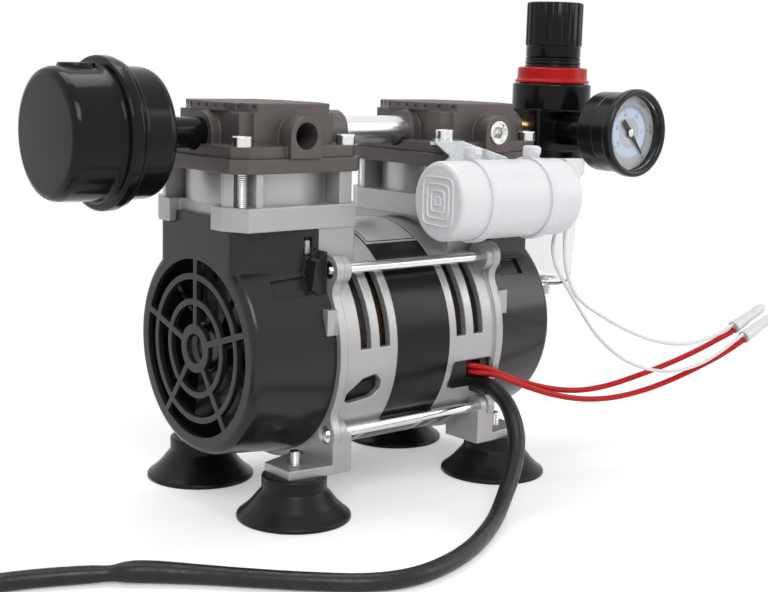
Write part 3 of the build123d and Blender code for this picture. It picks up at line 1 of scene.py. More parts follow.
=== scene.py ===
"""Looks of the twin-head rocking-piston vacuum pump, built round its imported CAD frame."""

import json
import math

import bmesh
import bpy
from mathutils import Matrix, Vector


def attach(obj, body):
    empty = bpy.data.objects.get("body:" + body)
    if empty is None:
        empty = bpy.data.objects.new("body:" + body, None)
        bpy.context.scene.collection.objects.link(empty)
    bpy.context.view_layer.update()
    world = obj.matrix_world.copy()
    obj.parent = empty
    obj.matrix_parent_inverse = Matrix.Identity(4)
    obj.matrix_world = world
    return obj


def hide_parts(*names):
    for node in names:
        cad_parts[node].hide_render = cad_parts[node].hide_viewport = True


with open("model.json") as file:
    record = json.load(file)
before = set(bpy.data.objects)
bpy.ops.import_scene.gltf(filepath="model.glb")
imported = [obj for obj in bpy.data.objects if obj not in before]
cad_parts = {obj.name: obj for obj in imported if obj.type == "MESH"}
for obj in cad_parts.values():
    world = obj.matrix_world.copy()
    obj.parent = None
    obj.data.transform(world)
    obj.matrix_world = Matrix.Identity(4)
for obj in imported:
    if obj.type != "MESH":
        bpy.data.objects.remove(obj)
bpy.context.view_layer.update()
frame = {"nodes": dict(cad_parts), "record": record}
scene = bpy.context.scene

# Lengths are in millimetres and become metres as each mesh is made; the camera, the floor and the
# lamps are in metres.
MM = 0.001
FULL_TURN = 2 * math.pi

# places that several pieces share, from the CAD model
SHAFT_Z = 70.9
PORT_Z = 164.4
HEAD_X = 56.0
REGULATOR_X = 129.8
DIAL_FACE = 53.0

# ------------------------------------------------------------------ camera
CAMERA_SENSOR, CAMERA_LENS = 36.0, 65.0
CAMERA_CLIP = (0.02, 50.0)
CAMERA_PLACE = (-0.40495, -0.50364, 0.19659)
CAMERA_RIGHT = (0.76722, -0.64084, 0.02652)
CAMERA_UP = (0.08744, 0.14546, 0.98549)
CAMERA_BACK = (-0.63540, -0.75377, 0.16763)

camera_data = bpy.data.cameras.new("camera")
camera_data.sensor_width = CAMERA_SENSOR
camera_data.lens = CAMERA_LENS
camera_data.clip_start, camera_data.clip_end = CAMERA_CLIP
camera = bpy.data.objects.new("camera", camera_data)
scene.collection.objects.link(camera)
camera.matrix_world = Matrix([
    (*row, place) for *row, place in zip(CAMERA_RIGHT, CAMERA_UP, CAMERA_BACK, CAMERA_PLACE)
] + [(0, 0, 0, 1)])
scene.camera = camera


# --------------------------------------------------------------- materials
# values of noise over which colours change
CLOUD_RANGE = (0.3, 0.7)
GRAIN_RANGE = (0.35, 0.65)
# agreement of the softened normal with the flat one, from a face to a worn edge
EDGE_RANGE = (0.99, 0.85)
# clouds over which the wear of an edge comes and goes, and its least share
PATCH_RANGE, PATCH_SHARE = (0.35, 0.6), 0.3
# width of one wave of the wave texture at scale 1
WAVE_WIDTH = FULL_TURN / 20
BEVEL_SAMPLES = 6
LOWEST_ROUGHNESS = 0.02
# flow marks and absorption of clear plastic
FLOW_SCALE, FLOW_SHADE, FLOW_STRENGTH, FLOW_DEPTH = 60.0, 0.97, 0.05, 0.1
WALL_GREY = (0.52, 0.53, 0.56, 1)
# enamelled wire: its turns, and the varnish over them
TURN_SCALE, TURN_WANDER = 400.0, 4.0
VARNISH_SCALE, VARNISH_RANGE, VARNISH_SHARE = 90.0, (0.42, 0.6), 0.85
VARNISH_GREEN = (0.02, 0.055, 0.032, 1)
# zinc crystals
CRYSTAL_SCALE, CRYSTAL_SHARE = 260.0, 0.35
CRYSTAL_GREY = (0.42, 0.45, 0.47, 1)
# radii between which the blue band of the dial begins and ends
BAND_EDGES = ((7.4, 7.6), (12.2, 12.4))
BAND_BLUE = (0.56, 0.67, 0.80, 1)


class Graph:
    """Node tree of a material or of the world."""

    def __init__(self, owner, output="OutputMaterial"):
        owner.use_nodes = True
        self.tree = owner.node_tree
        self.tree.nodes.clear()
        self.output = self.add(output)

    def add(self, kind, inputs=None, **settings):
        """New node; an input is a value or another node's output socket."""
        node = self.tree.nodes.new("ShaderNode" + kind)
        for key, value in settings.items():
            setattr(node, key, value)
        for key, value in (inputs or {}).items():
            if isinstance(value, bpy.types.NodeSocket):
                self.tree.links.new(value, node.inputs[key])
            else:
                node.inputs[key].default_value = value
        return node

    def finish(self, shader, socket="Surface"):
        """Send a shader to the output."""
        self.tree.links.new(shader.outputs[0], self.output.inputs[socket])

    def noise(self, vector, scale, detail=3.0):
        """Noise from 0 to 1."""
        made = self.add("TexNoise", {"Vector": vector, "Scale": scale, "Detail": detail})
        return made.outputs["Fac"]

    def ranged(self, value, low, high, to_low, to_high):
        """Value carried from one range to another and kept inside it."""
        made = self.add("MapRange", {"Value": value, "From Min": low, "From Max": high,
                                     "To Min": to_low, "To Max": to_high})
        return made.outputs["Result"]

    def mixed(self, factor, first, second):
        """Colour between two colours."""
        made = self.add("Mix", {0: factor, 6: first, 7: second}, data_type="RGBA")
        return made.outputs[2]

    def math(self, operation, first, second):
        """Two values combined."""
        return self.add("Math", {0: first, 1: second}, operation=operation).outputs[0]

    def distance(self, first, second):
        """How far apart two places are."""
        made = self.add("VectorMath", {0: first, 1: second}, operation="DISTANCE")
        return made.outputs["Value"]


def shade(colour, amount):
    """Colour made lighter or darker, with its alpha."""
    return (*[min(1.0, c * amount) for c in colour], 1.0)


materials = {}


def surface(slot, colour, rough, metal=0.0, vary=0.1, cloud=45.0, rough_vary=0.06, grain=1400.0,
            relief=0.15, depth=0.05, stretch=(1, 1, 1), soft_edge=0.5, wear=0.0,
            wear_colour=(0.8, 0.8, 0.8), lines=None, pattern=None, name=None, **shader):
    """Material of a slot: clouded colour, uneven gloss, fine relief and softened, worn edges."""
    material = bpy.data.materials.new(name or slot)
    g = Graph(material)
    coordinates = g.add("TexCoord").outputs["Object"]
    drawn = g.add("Mapping", {"Vector": coordinates, "Scale": stretch}).outputs["Vector"]
    clouds = g.noise(coordinates, cloud)
    fine = g.noise(drawn, grain, 2.0)
    base = g.mixed(g.ranged(clouds, *CLOUD_RANGE, 0, 1), shade(colour, 1 - vary),
                   shade(colour, 1 + vary))
    base = g.mixed(g.ranged(fine, *GRAIN_RANGE, 0, vary), base, shade(colour, 1 - 3 * vary))
    height = fine
    if pattern:
        base, height = pattern(g, coordinates, base, height)
    if lines:
        period, weight, direction = lines
        wave = g.add("TexWave", {"Vector": coordinates, "Scale": WAVE_WIDTH / (period * MM),
                                 "Distortion": 0.3}, bands_direction=direction).outputs["Fac"]
        height = g.math("ADD", height, g.math("MULTIPLY", wave, weight))
    bevel = g.add("Bevel", {"Radius": soft_edge * MM}, samples=BEVEL_SAMPLES).outputs["Normal"]
    if wear:
        flat = g.add("NewGeometry").outputs["Normal"]
        facing = g.add("VectorMath", {0: bevel, 1: flat}, operation="DOT_PRODUCT")
        edge = g.math("MULTIPLY", g.ranged(facing.outputs["Value"], *EDGE_RANGE, 0, wear),
                      g.ranged(clouds, *PATCH_RANGE, PATCH_SHARE, 1.0))
        base = g.mixed(edge, base, (*wear_colour, 1))
    bump = g.add("Bump", {"Height": height, "Normal": bevel, "Strength": relief,
                          "Distance": depth * MM})
    gloss = g.ranged(g.noise(drawn, cloud * 3), *CLOUD_RANGE,
                     max(LOWEST_ROUGHNESS, rough - rough_vary), rough + rough_vary)
    main = g.add("BsdfPrincipled", {"Base Color": base, "Roughness": gloss, "Metallic": metal,
                                    "Normal": bump.outputs["Normal"]})
    for key, value in shader.items():
        main.inputs[key.replace("_", " ").title().replace("Ior", "IOR")].default_value = value
    g.finish(main)
    materials[name or slot] = material


def clear(slot, tint, rough, ior, density=0.0):
    """See-through plastic or glass with faint flow marks; dense plastic greys along its wall."""
    material = bpy.data.materials.new(slot)
    g = Graph(material)
    flow = g.noise(g.add("TexCoord").outputs["Object"], FLOW_SCALE)
    base = g.mixed(g.ranged(flow, *CLOUD_RANGE, 0, 1), shade(tint, FLOW_SHADE), shade(tint, 1.0))
    bump = g.add("Bump", {"Height": flow, "Strength": FLOW_STRENGTH, "Distance": FLOW_DEPTH * MM})
    g.finish(g.add("BsdfPrincipled", {
        "Base Color": base, "Roughness": rough, "Transmission Weight": 1.0, "IOR": ior,
        "Normal": bump.outputs["Normal"]}))
    if density:
        g.finish(g.add("VolumeAbsorption", {"Color": WALL_GREY, "Density": density}), "Volume")
    materials[slot] = material


def copper_turns(g, coordinates, base, height):
    """Rings of enamelled wire about the shaft, tinted green by the varnish."""
    moved = g.add("Mapping", {"Vector": coordinates, "Location": (0, 0, -SHAFT_Z * MM)})
    moved = moved.outputs["Vector"]
    rings = g.add("TexWave", {"Vector": moved, "Scale": TURN_SCALE, "Distortion": TURN_WANDER,
                              "Detail Scale": 2.0}, wave_type="RINGS", rings_direction="X")
    varnish = g.ranged(g.noise(moved, VARNISH_SCALE), *VARNISH_RANGE, 0, VARNISH_SHARE)
    return g.mixed(varnish, base, VARNISH_GREEN), rings.outputs["Fac"]


def spangle(g, coordinates, base, height):
    """Zinc crystals of a hot-dip coating."""
    cells = g.add("TexVoronoi", {"Vector": coordinates, "Scale": CRYSTAL_SCALE, "Randomness": 1.0})
    grey = g.add("SeparateColor", {"Color": cells.outputs["Color"]}).outputs[0]
    return g.mixed(g.ranged(grey, 0, 1, 0, CRYSTAL_SHARE), base, CRYSTAL_GREY), height


def dial_face(g, coordinates, base, height):
    """Silver dial with a pale blue band inside its scale."""
    away = g.distance(coordinates, (REGULATOR_X * MM, -DIAL_FACE * MM, PORT_Z * MM))
    inside, outside = ([edge * MM for edge in edges] for edges in BAND_EDGES)
    band = g.math("MULTIPLY", g.ranged(away, *inside, 0, 1), g.ranged(away, *outside, 1, 0))
    return g.mixed(band, base, BAND_BLUE), height


# width, weight and direction of the edges of stacked sheet steel
LAMINATION = (0.65, 0.6, "X")
BRIGHT_ALLOY = (0.66, 0.66, 0.67)

surface("cast_alloy", (0.44, 0.43, 0.435), 0.4, 0.55, vary=0.03, grain=2200.0, relief=0.3,
        wear=0.4, wear_colour=BRIGHT_ALLOY, soft_edge=0.9)
surface("cast_alloy", (0.45, 0.44, 0.435), 0.34, 0.65, vary=0.03, grain=700.0,
        stretch=(0.2, 0.2, 3), relief=0.15, wear=0.4, wear_colour=BRIGHT_ALLOY,
        name="machined_alloy")
surface("core_lacquer", (0.011, 0.010, 0.011), 0.24, vary=0.06, rough_vary=0.03, lines=LAMINATION,
        relief=0.08, soft_edge=0.3, specular_ior_level=0.2)
surface("winding", (0.085, 0.045, 0.022), 0.35, 0.4, vary=0.25, pattern=copper_turns, relief=0.9,
        depth=0.4)
surface("rotor_steel", (0.42, 0.41, 0.40), 0.35, 0.9, lines=LAMINATION)
surface("zinc_steel", (0.78, 0.78, 0.77), 0.22, 1.0, vary=0.06, wear=0.3, soft_edge=0.25)
surface("zinc_steel", (0.66, 0.69, 0.70), 0.26, 1.0, vary=0.05, pattern=spangle, soft_edge=0.4,
        name="zinc_sheet")
surface("rod_steel", (0.78, 0.775, 0.77), 0.2, 1.0, vary=0.05, grain=900.0, stretch=(0.05, 1, 1),
        soft_edge=0.3)
surface("foot_rubber", (0.012, 0.0108, 0.0116), 0.32, vary=0.08, rough_vary=0.04, grain=900.0,
        relief=0.08, soft_edge=0.5, specular_ior_level=0.2)
surface("cover_plastic", (0.0175, 0.016, 0.017), 0.22, vary=0.04, rough_vary=0.02, grain=2600.0,
        relief=0.05, soft_edge=0.7, wear=0.2, wear_colour=(0.05, 0.048, 0.05),
        specular_ior_level=0.32)
surface("head_casting", (0.104, 0.091, 0.087), 0.48, 0.35, vary=0.10, grain=1500.0, relief=0.5,
        depth=0.12, soft_edge=1.0, wear=0.35, wear_colour=(0.22, 0.2, 0.19))
surface("tube_chrome", (0.80, 0.80, 0.81), 0.26, 1.0, vary=0.03, rough_vary=0.03, grain=700.0,
        stretch=(0.03, 1, 1), relief=0.05)
surface("black_housing", (0.0062, 0.0058, 0.0063), 0.15, vary=0.1, rough_vary=0.03, grain=250.0,
        relief=0.04, depth=0.2, soft_edge=0.6, specular_ior_level=0.17)
surface("red_plastic", (0.49, 0.006, 0.007), 0.26, vary=0.04, relief=0.06,
        specular_ior_level=0.18)
surface("filter_white", (0.78, 0.77, 0.74), 0.8, grain=500.0, relief=0.6, depth=0.3)
surface("brass", (0.78, 0.50, 0.20), 0.22, 1.0, vary=0.08, soft_edge=0.3)
surface("felt", (0.30, 0.29, 0.28), 0.95, grain=900.0, relief=1.0, depth=0.4)
surface("seal_rubber", (0.012, 0.012, 0.013), 0.5)
surface("white_plastic", (0.78, 0.78, 0.80), 0.34, vary=0.015, grain=700.0, relief=0.05,
        soft_edge=0.4, subsurface_weight=0.15, subsurface_scale=0.004)
surface("dial_silver", (0.50, 0.51, 0.53), 0.45, 0.2, vary=0.02, pattern=dial_face, relief=0.05)
surface("needle_black", (0.008, 0.008, 0.009), 0.35, soft_edge=0.1)
surface("plate_silver", (0.62, 0.63, 0.65), 0.34, 0.7, vary=0.04, grain=600.0,
        stretch=(0.05, 1, 1), relief=0.2)
surface("black_plastic", (0.009, 0.0085, 0.009), 0.24, vary=0.06, rough_vary=0.03, relief=0.05,
        specular_ior_level=0.32)
surface("cord_black", (0.0125, 0.0115, 0.012), 0.36, vary=0.25, cloud=120.0, rough_vary=0.1,
        grain=260.0, relief=0.55, depth=0.35, soft_edge=0.05, specular_ior_level=0.34)
surface("wire_red", (0.50, 0.009, 0.011), 0.36, vary=0.04, grain=600.0, relief=0.06,
        soft_edge=0.05, specular_ior_level=0.24)
surface("wire_white", (0.78, 0.78, 0.79), 0.38, vary=0.03, relief=0.06, soft_edge=0.05)
surface("cap_white", (0.84, 0.84, 0.85), 0.3, vary=0.03, relief=0.08,
        transmission_weight=0.25)
surface("ink_blue", (0.06, 0.16, 0.42), 0.5, soft_edge=0.02)
clear("clear_bowl", (0.985, 0.985, 0.99), 0.06, 1.4, 32.0)
clear("lens", (0.98, 0.985, 0.985), 0.0, 1.15)

# nodes with a finish of their own, and the slots that such finishes belong to
NODE_FINISH = {"cylinders": "machined_alloy", "capacitor_bracket": "zinc_sheet"}
node_slots = {part["node"]: part["material_slot"] for part in frame["record"]["subparts"]}
for node_name, node in frame["nodes"].items():
    node.data.materials.clear()
    node.data.materials.append(materials[NODE_FINISH.get(node_name, node_slots[node_name])])


# ------------------------------------------------------------ mesh helpers
FLUTES = 20
FLUTE_DEPTH = 0.75
SQUARENESS = 6.0
# a radius below this lies on the axis
ON_AXIS = 1e-6
# share of a profile's side that one eased corner may take
EASE_SHARE = 0.45
BLOCK_SEGMENTS = 3


def ring_radius(shape, radius, angle):
    """Radius at an angle: round, a hexagon by its flats, a soft square or a fluted grip."""
    if shape == "hex":
        return radius / math.cos(angle % (math.pi / 3) - math.pi / 6)
    if shape == "square":
        turn = angle + math.pi / 4
        powers = abs(math.cos(turn)) ** SQUARENESS + abs(math.sin(turn)) ** SQUARENESS
        return radius / powers ** (1 / SQUARENESS)
    if shape == "fluted":
        return radius - FLUTE_DEPTH * max(0.0, math.cos(FLUTES * angle)) ** 2
    return radius


def rounded(profile, radius=1.0, steps=4):
    """Closed profile with its corners eased; a point on the axis or with a shape stays."""
    eased = []
    for index, corner in enumerate(profile):
        before, after = profile[index - 1], profile[(index + 1) % len(profile)]
        if corner[0] < ON_AXIS or len(corner) > 2:
            eased.append(corner)
            continue
        here = Vector(corner)
        ends = []
        for other in (before, after):
            step = Vector(other[:2]) - here
            ends.append(here + step * min(radius / step.length, EASE_SHARE))
        for k in range(steps + 1):
            t = k / steps
            eased.append(tuple(ends[0] * (1 - t) ** 2 + here * 2 * t * (1 - t) + ends[1] * t * t))
    return eased


def turned(profile, origin, axis=(0, 0, 1), steps=64):
    """Vertices and faces of a closed profile of (radius, height) turned about an axis."""
    axis, origin = Vector(axis).normalized(), Vector(origin)
    side = axis.orthogonal().normalized()
    other = axis.cross(side)
    verts, rings = [], []
    for radius, height, *shape in profile:
        middle = origin + axis * height
        if radius < ON_AXIS:
            rings.append([len(verts)])
            verts.append(middle)
            continue
        rings.append(list(range(len(verts), len(verts) + steps)))
        for k in range(steps):
            angle = FULL_TURN * k / steps
            reach = ring_radius(shape[0] if shape else "", radius, angle)
            verts.append(middle + side * reach * math.cos(angle) + other * reach * math.sin(angle))
    faces = []
    for low, high in zip(rings, rings[1:] + rings[:1]):
        if len(low) == 1 and len(high) == 1:
            continue
        for k in range(steps):
            n = (k + 1) % steps
            if len(low) == 1:
                faces.append((low[0], high[k], high[n]))
            elif len(high) == 1:
                faces.append((low[k], high[0], low[n]))
            else:
                faces.append((low[k], high[k], high[n], low[n]))
    return verts, faces


def lofted(rings, capped=True):
    """Closed skin over rings of equally many points: capped at its ends, or back to its start."""
    count = len(rings[0])
    verts = [point for ring in rings for point in ring]
    faces = [tuple(range(count)), tuple(range(len(verts) - count, len(verts)))] if capped else []
    for r in range(len(rings) - capped):
        low, high = r * count, (r + 1) % len(rings) * count
        for k in range(count):
            n = (k + 1) % count
            faces.append((low + k, low + n, high + n, high + k))
    return verts, faces


def rounded_rectangle(half_x, half_y, corner, steps):
    """Points round a rectangle with round corners."""
    return [(side_x * (half_x - corner) + corner * math.cos(start + k * FULL_TURN / 4 / steps),
             side_y * (half_y - corner) + corner * math.sin(start + k * FULL_TURN / 4 / steps))
            for side_x, side_y, start in ((1, 1, 0), (-1, 1, FULL_TURN / 4),
                                          (-1, -1, FULL_TURN / 2), (1, -1, FULL_TURN * 3 / 4))
            for k in range(steps + 1)]


def block(size, centre, ease, turn=None):
    """Box with eased edges."""
    bm = bmesh.new()
    bmesh.ops.create_cube(bm, size=1.0)
    bmesh.ops.scale(bm, vec=size, verts=bm.verts)
    bmesh.ops.bevel(bm, geom=bm.edges[:], offset=ease, segments=BLOCK_SEGMENTS, affect="EDGES",
                    profile=0.5)
    place = Matrix.Translation(centre) @ (turn or Matrix.Identity(4))
    bmesh.ops.transform(bm, matrix=place, verts=bm.verts)
    bm.verts.index_update()
    made = [v.co.copy() for v in bm.verts], [tuple(v.index for v in f.verts) for f in bm.faces]
    bm.free()
    return made


def piece(name, parts, material, body="pump", replaces=(), sharp=35.0):
    """One object from several lists of vertices and faces, riding on a body."""
    mesh = bpy.data.meshes.new(name)
    verts, faces = [], []
    for part_verts, part_faces in parts:
        shift = len(verts)
        verts += [Vector(v) * MM for v in part_verts]
        faces += [tuple(i + shift for i in face) for face in part_faces]
    mesh.from_pydata(verts, [], faces)
    bm = bmesh.new()
    bm.from_mesh(mesh)
    bmesh.ops.recalc_face_normals(bm, faces=bm.faces)
    bm.to_mesh(mesh)
    bm.free()
    mesh.shade_smooth()
    mesh.set_sharp_from_angle(angle=math.radians(sharp))
    mesh.materials.append(materials[material])
    made = bpy.data.objects.new(name, mesh)
    scene.collection.objects.link(made)
    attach(made, body)
    if replaces:
        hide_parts(*replaces)
    return made


def thread(radius, low, high, pitch, deep):
    """Profile of a thread's ridges between two heights."""
    count = 2 * round((high - low) / pitch)
    return [(radius - deep * (k % 2), low + (high - low) * k / count) for k in range(count + 1)]


# -------------------------------------------------------------------- cords
CORD_FACETS, CORD_STEPS = 5, 10


def cord_curve(name, points, radius, material, replaces, swell=None):
    """Round cord along a smooth line through a route's control points."""
    data = bpy.data.curves.new(name, "CURVE")
    data.dimensions = "3D"
    data.bevel_depth = radius * MM
    data.bevel_resolution = CORD_FACETS
    data.resolution_u = CORD_STEPS
    data.use_fill_caps = True
    spline = data.splines.new("NURBS")
    spline.points.add(len(points) - 1)
    for index, (control, place) in enumerate(zip(spline.points, points)):
        control.co = (*[c * MM for c in place], 1.0)
        control.radius = (swell or {}).get(index, 1.0)
    spline.order_u = 3
    spline.use_endpoint_u = True
    data.materials.append(materials[material])
    made = bpy.data.objects.new(name, data)
    scene.collection.objects.link(made)
    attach(made, "pump")
    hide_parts(*replaces)
    return made


JOINT_MOUTHS = {"a": (187.5, -81.5, 65.0), "b": (187.5, -88.0, 61.0)}
JOINT_AXIS = (0.942, 0.0, 0.335)
JOINT_UP = (-0.335, 0.0, 0.942)
# how far above the cap's axis each wire enters, and how far ahead it lines up
RED_SEAT, WHITE_SEAT, LAST_RUN = -1.3, 1.9, 5.0


def joint_end(side, up):
    """The last two points of a wire that enters a closed-end cap."""
    return [tuple(m + up * u + along * a
                  for m, u, a in zip(JOINT_MOUTHS[side], JOINT_UP, JOINT_AXIS))
            for along in (-LAST_RUN, 0)]


POWER_CORD = [
    (38.0, -57.0, 48.4), (37.2, -65.6, 46.0), (35.4, -73.6, 40.0), (33.5, -79.3, 31.6),
    (29.0, -83.5, 23.6), (21.8, -88.1, 15.4), (11.9, -93.6, 8.8), (0.5, -101.1, 5.0),
    (-14.8, -110.6, 3.9), (-32.4, -120.6, 3.9), (-52.6, -128.1, 3.9), (-72.0, -130.8, 3.9),
    (-89.2, -125.6, 3.9), (-104.0, -113.2, 3.9), (-119.0, -98.5, 3.9), (-134.0, -82.5, 3.9),
    (-150.0, -69.0, 4.6), (-157.0, -64.2, 4.6), (-162.0, -60.6, 3.9), (-168.0, -57.0, 3.9),
    (-188.0, -48.0, 3.9), (-208.0, -42.9, 3.9), (-226.0, -41.8, 3.9),
]
# a crumple in the sleeve and the narrow neck after it, by control point
CORD_SWELL = {2: 1.08, 3: 1.1, 4: 1.1, 5: 1.06, 15: 1.05, 16: 1.22, 17: 1.18, 18: 0.8, 19: 0.98}
RED_A = [
    (31.6, -46.0, 58.2), (34.6, -50.6, 57.8), (42.0, -51.6, 55.6), (51.5, -52.4, 51.4),
    (63.0, -54.6, 46.8), (77.0, -58.4, 42.6), (93.0, -62.0, 40.3), (109.0, -65.4, 41.2),
    (126.0, -69.6, 44.8), (142.0, -73.4, 48.9), (156.0, -76.6, 53.0), (168.0, -79.2, 57.1),
    (176.5, -80.9, 60.4), *joint_end("a", RED_SEAT),
]
RED_B = [
    (33.8, -46.0, 54.6), (36.4, -51.8, 54.6), (42.5, -54.8, 53.6), (50.5, -56.4, 50.2),
    (60.0, -58.0, 46.2), (74.0, -60.8, 41.0), (92.0, -64.3, 36.6), (110.0, -67.8, 35.4),
    (127.0, -71.2, 37.0), (143.0, -75.0, 40.6), (157.0, -79.0, 45.4), (169.0, -83.6, 50.8),
    (176.5, -86.6, 54.9), *joint_end("b", RED_SEAT),
]
WHITE_A = [
    (67.9, -65.5, 131.5), (71.5, -66.2, 129.5), (72.6, -67.0, 124.0), (71.4, -67.6, 116.5),
    (71.6, -68.2, 108.0), (73.2, -69.0, 99.5), (77.0, -70.1, 91.0), (84.0, -71.5, 84.9),
    (94.0, -73.0, 79.2), (106.0, -74.8, 72.8), (119.0, -76.6, 67.2), (132.0, -78.0, 63.0),
    (145.0, -79.3, 60.6), (157.0, -80.4, 60.3), (167.0, -81.1, 61.4), (175.2, -81.5, 63.1),
    *joint_end("a", WHITE_SEAT),
]
WHITE_B = [
    (67.9, -63.0, 134.0), (71.8, -63.0, 133.0), (73.6, -62.5, 128.0), (72.4, -61.5, 121.0),
    (69.6, -61.6, 113.5), (69.6, -63.6, 105.5), (72.0, -67.0, 97.5), (76.2, -70.4, 89.4),
    (81.5, -72.3, 81.0), (89.0, -73.4, 71.6), (98.0, -74.4, 63.7), (108.5, -75.7, 56.6),
    (120.5, -77.4, 51.4), (134.0, -79.5, 48.1), (147.5, -81.9, 47.7), (159.5, -84.5, 50.3),
    (169.5, -86.6, 54.7), (176.0, -87.7, 57.9), *joint_end("b", WHITE_SEAT),
]
COIL_CENTRE = (-246.6, 2.4)
COIL_OUT, COIL_IN, COIL_LOW, COIL_HIGH = 43.6, 36.4, 3.9, 11.1
COIL_END_ANGLE = 1170
# (degrees turned, radius, height) where the cord changes its place in the coil
COIL_STATIONS = [
    (0, COIL_OUT, COIL_LOW), (290, COIL_OUT, COIL_LOW), (350, COIL_IN, COIL_LOW),
    (590, COIL_IN, COIL_LOW), (650, COIL_IN, COIL_HIGH), (890, COIL_IN, COIL_HIGH),
    (950, COIL_OUT, COIL_HIGH), (COIL_END_ANGLE, COIL_OUT, COIL_HIGH),
]
COIL_STEP = 22.5
PLUG_X, PLUG_START_Y, PLUG_Z = -290.2, 20.0, 7.8


def coil_points():
    """Control points of the coil's turns, clockwise from its front to its left side."""
    points = []
    for k in range(int(COIL_END_ANGLE / COIL_STEP) + 1):
        turned_by = k * COIL_STEP
        for (start, r0, z0), (end, r1, z1) in zip(COIL_STATIONS, COIL_STATIONS[1:]):
            if start <= turned_by <= end:
                t = (turned_by - start) / (end - start)
                t = t * t * (3 - 2 * t)
                radius, height = r0 + (r1 - r0) * t, z0 + (z1 - z0) * t
        angle = math.radians(-90 - turned_by)
        points.append((COIL_CENTRE[0] + radius * math.cos(angle),
                       COIL_CENTRE[1] + radius * math.sin(angle), height))
    return points


COIL_TO_PLUG = [(PLUG_X, 12.0, 10.6), (PLUG_X, 20.0, 8.9), (PLUG_X, 28.0, PLUG_Z),
                (PLUG_X, 36.0, PLUG_Z)]
POWER_CORD_RADIUS, RED_RADIUS, WHITE_RADIUS = 3.6, 1.4, 0.85
power_cord = cord_curve("power_cord_sleeve", POWER_CORD + coil_points() + COIL_TO_PLUG,
                        POWER_CORD_RADIUS, "cord_black", ("power_cord", "power_cord_coil"),
                        CORD_SWELL)
for label, points, radius, material in (
        ("red_wire_a", RED_A, RED_RADIUS, "wire_red"),
        ("red_wire_b", RED_B, RED_RADIUS, "wire_red"),
        ("white_wire_a", WHITE_A, WHITE_RADIUS, "wire_white"),
        ("white_wire_b", WHITE_B, WHITE_RADIUS, "wire_white")):
    cord_curve(label + "_lead", points, radius, material, (label,))

# closed-end caps: flared mouth, crimped waist, rounded tip
cap_profile = rounded([
    (0, 1.2), (2.6, 1.2), (2.9, 0.1), (3.25, 0.1), (3.2, 3.0), (2.95, 9.0), (2.62, 12.0),
    (2.5, 16.0), (2.62, 19.0), (2.4, 24.0), (1.6, 26.0), (0, 26.0)], 0.6)
for side, mouth in JOINT_MOUTHS.items():
    piece("closed_end_cap_" + side, [turned(cap_profile, mouth, JOINT_AXIS, 32)], "cap_white",
          replaces=("closed_end_joints",))

# mains plug: ribbed sleeve, moulded body, two pins
PLUG_AXIS = (0, 1, 0)
PLUG_START = (PLUG_X, PLUG_START_Y, PLUG_Z)
SLEEVE_END = 22.0
SLEEVE_RIBS, RIB_PITCH = 6, 3.0
SLEEVE_THIN, SLEEVE_GROWS, RIB_DEPTH = 3.9, 1.5, 0.6
BODY_LENGTH = 32.0
BODY_END = SLEEVE_END + BODY_LENGTH
PIN_RADIUS, PIN_REACH, PIN_ROOT, PIN_OFFSET = 2.2, 18.0, 2.0, 9.5
# (distance along the body, half width, half height, corner radius)
PLUG_SECTIONS = [(0.0, 7.0, 5.6, 3.0), (1.4, 9.2, 6.6, 3.6), (5.0, 12.2, 7.3, 4.0),
                 (9.0, 13.5, 7.5, 4.0), (26.0, 13.5, 7.5, 4.0), (30.6, 13.2, 7.3, 4.0),
                 (BODY_LENGTH, 12.2, 6.4, 3.4)]
plug_body = lofted([[(PLUG_X + x, PLUG_START_Y + SLEEVE_END + along, PLUG_Z + z)
                     for x, z in rounded_rectangle(half_x, half_z, corner, 6)]
                    for along, half_x, half_z, corner in PLUG_SECTIONS])
ribs = []
for k in range(SLEEVE_RIBS):
    start = RIB_PITCH * (k + 1)
    swell = SLEEVE_THIN + SLEEVE_GROWS * start / SLEEVE_END
    ribs += [(swell, start), (swell, start + 1.9), (swell - RIB_DEPTH, start + 2.1),
             (swell - RIB_DEPTH, start + 2.8)]
plug_sleeve = turned([(3.4, 2.6), *ribs, (5.4, SLEEVE_END), (5.4, SLEEVE_END + 1),
                      (3.4, SLEEVE_END + 1)], PLUG_START, PLUG_AXIS, 40)
plug = piece("mains_plug_body", [plug_body, plug_sleeve], "cord_black", replaces=("mains_plug",))
pin_profile = rounded([(0, BODY_END - PIN_ROOT), (PIN_RADIUS, BODY_END - PIN_ROOT),
                       (PIN_RADIUS, BODY_END + PIN_REACH), (0, BODY_END + PIN_REACH)], 1.4)
plug_pins = piece("mains_plug_pins", [
    turned(pin_profile, (PLUG_X + side * PIN_OFFSET, PLUG_START_Y, PLUG_Z), PLUG_AXIS, 32)
    for side in (-1, 1)], "brass")

# strap that holds the coil: a closed band, with its section's corners in turn
STRAP_ANGLE = math.radians(35)
STRAP_HEIGHT, STRAP_RADIUS, STRAP_CORNER = 7.5, 40, 3
# (place along the cord, half width, half height)
STRAP_RINGS = ((-3.0, 7.3, 7.45), (-3.0, 7.22, 7.37), (3.0, 7.22, 7.37), (3.0, 7.3, 7.45))
strap_out = Vector((math.cos(STRAP_ANGLE), math.sin(STRAP_ANGLE), 0))
strap_along = Vector((-strap_out.y, strap_out.x, 0))
strap_middle = Vector((*COIL_CENTRE, STRAP_HEIGHT)) + strap_out * STRAP_RADIUS
strap_rings = [[strap_middle + strap_along * offset + strap_out * out + Vector((0, 0, up))
                for out, up in rounded_rectangle(half_out, half_up, STRAP_CORNER, 5)]
               for offset, half_out, half_up in STRAP_RINGS]
coil_tie = piece("coil_tie", [lofted(strap_rings, capped=False)], "black_plastic")

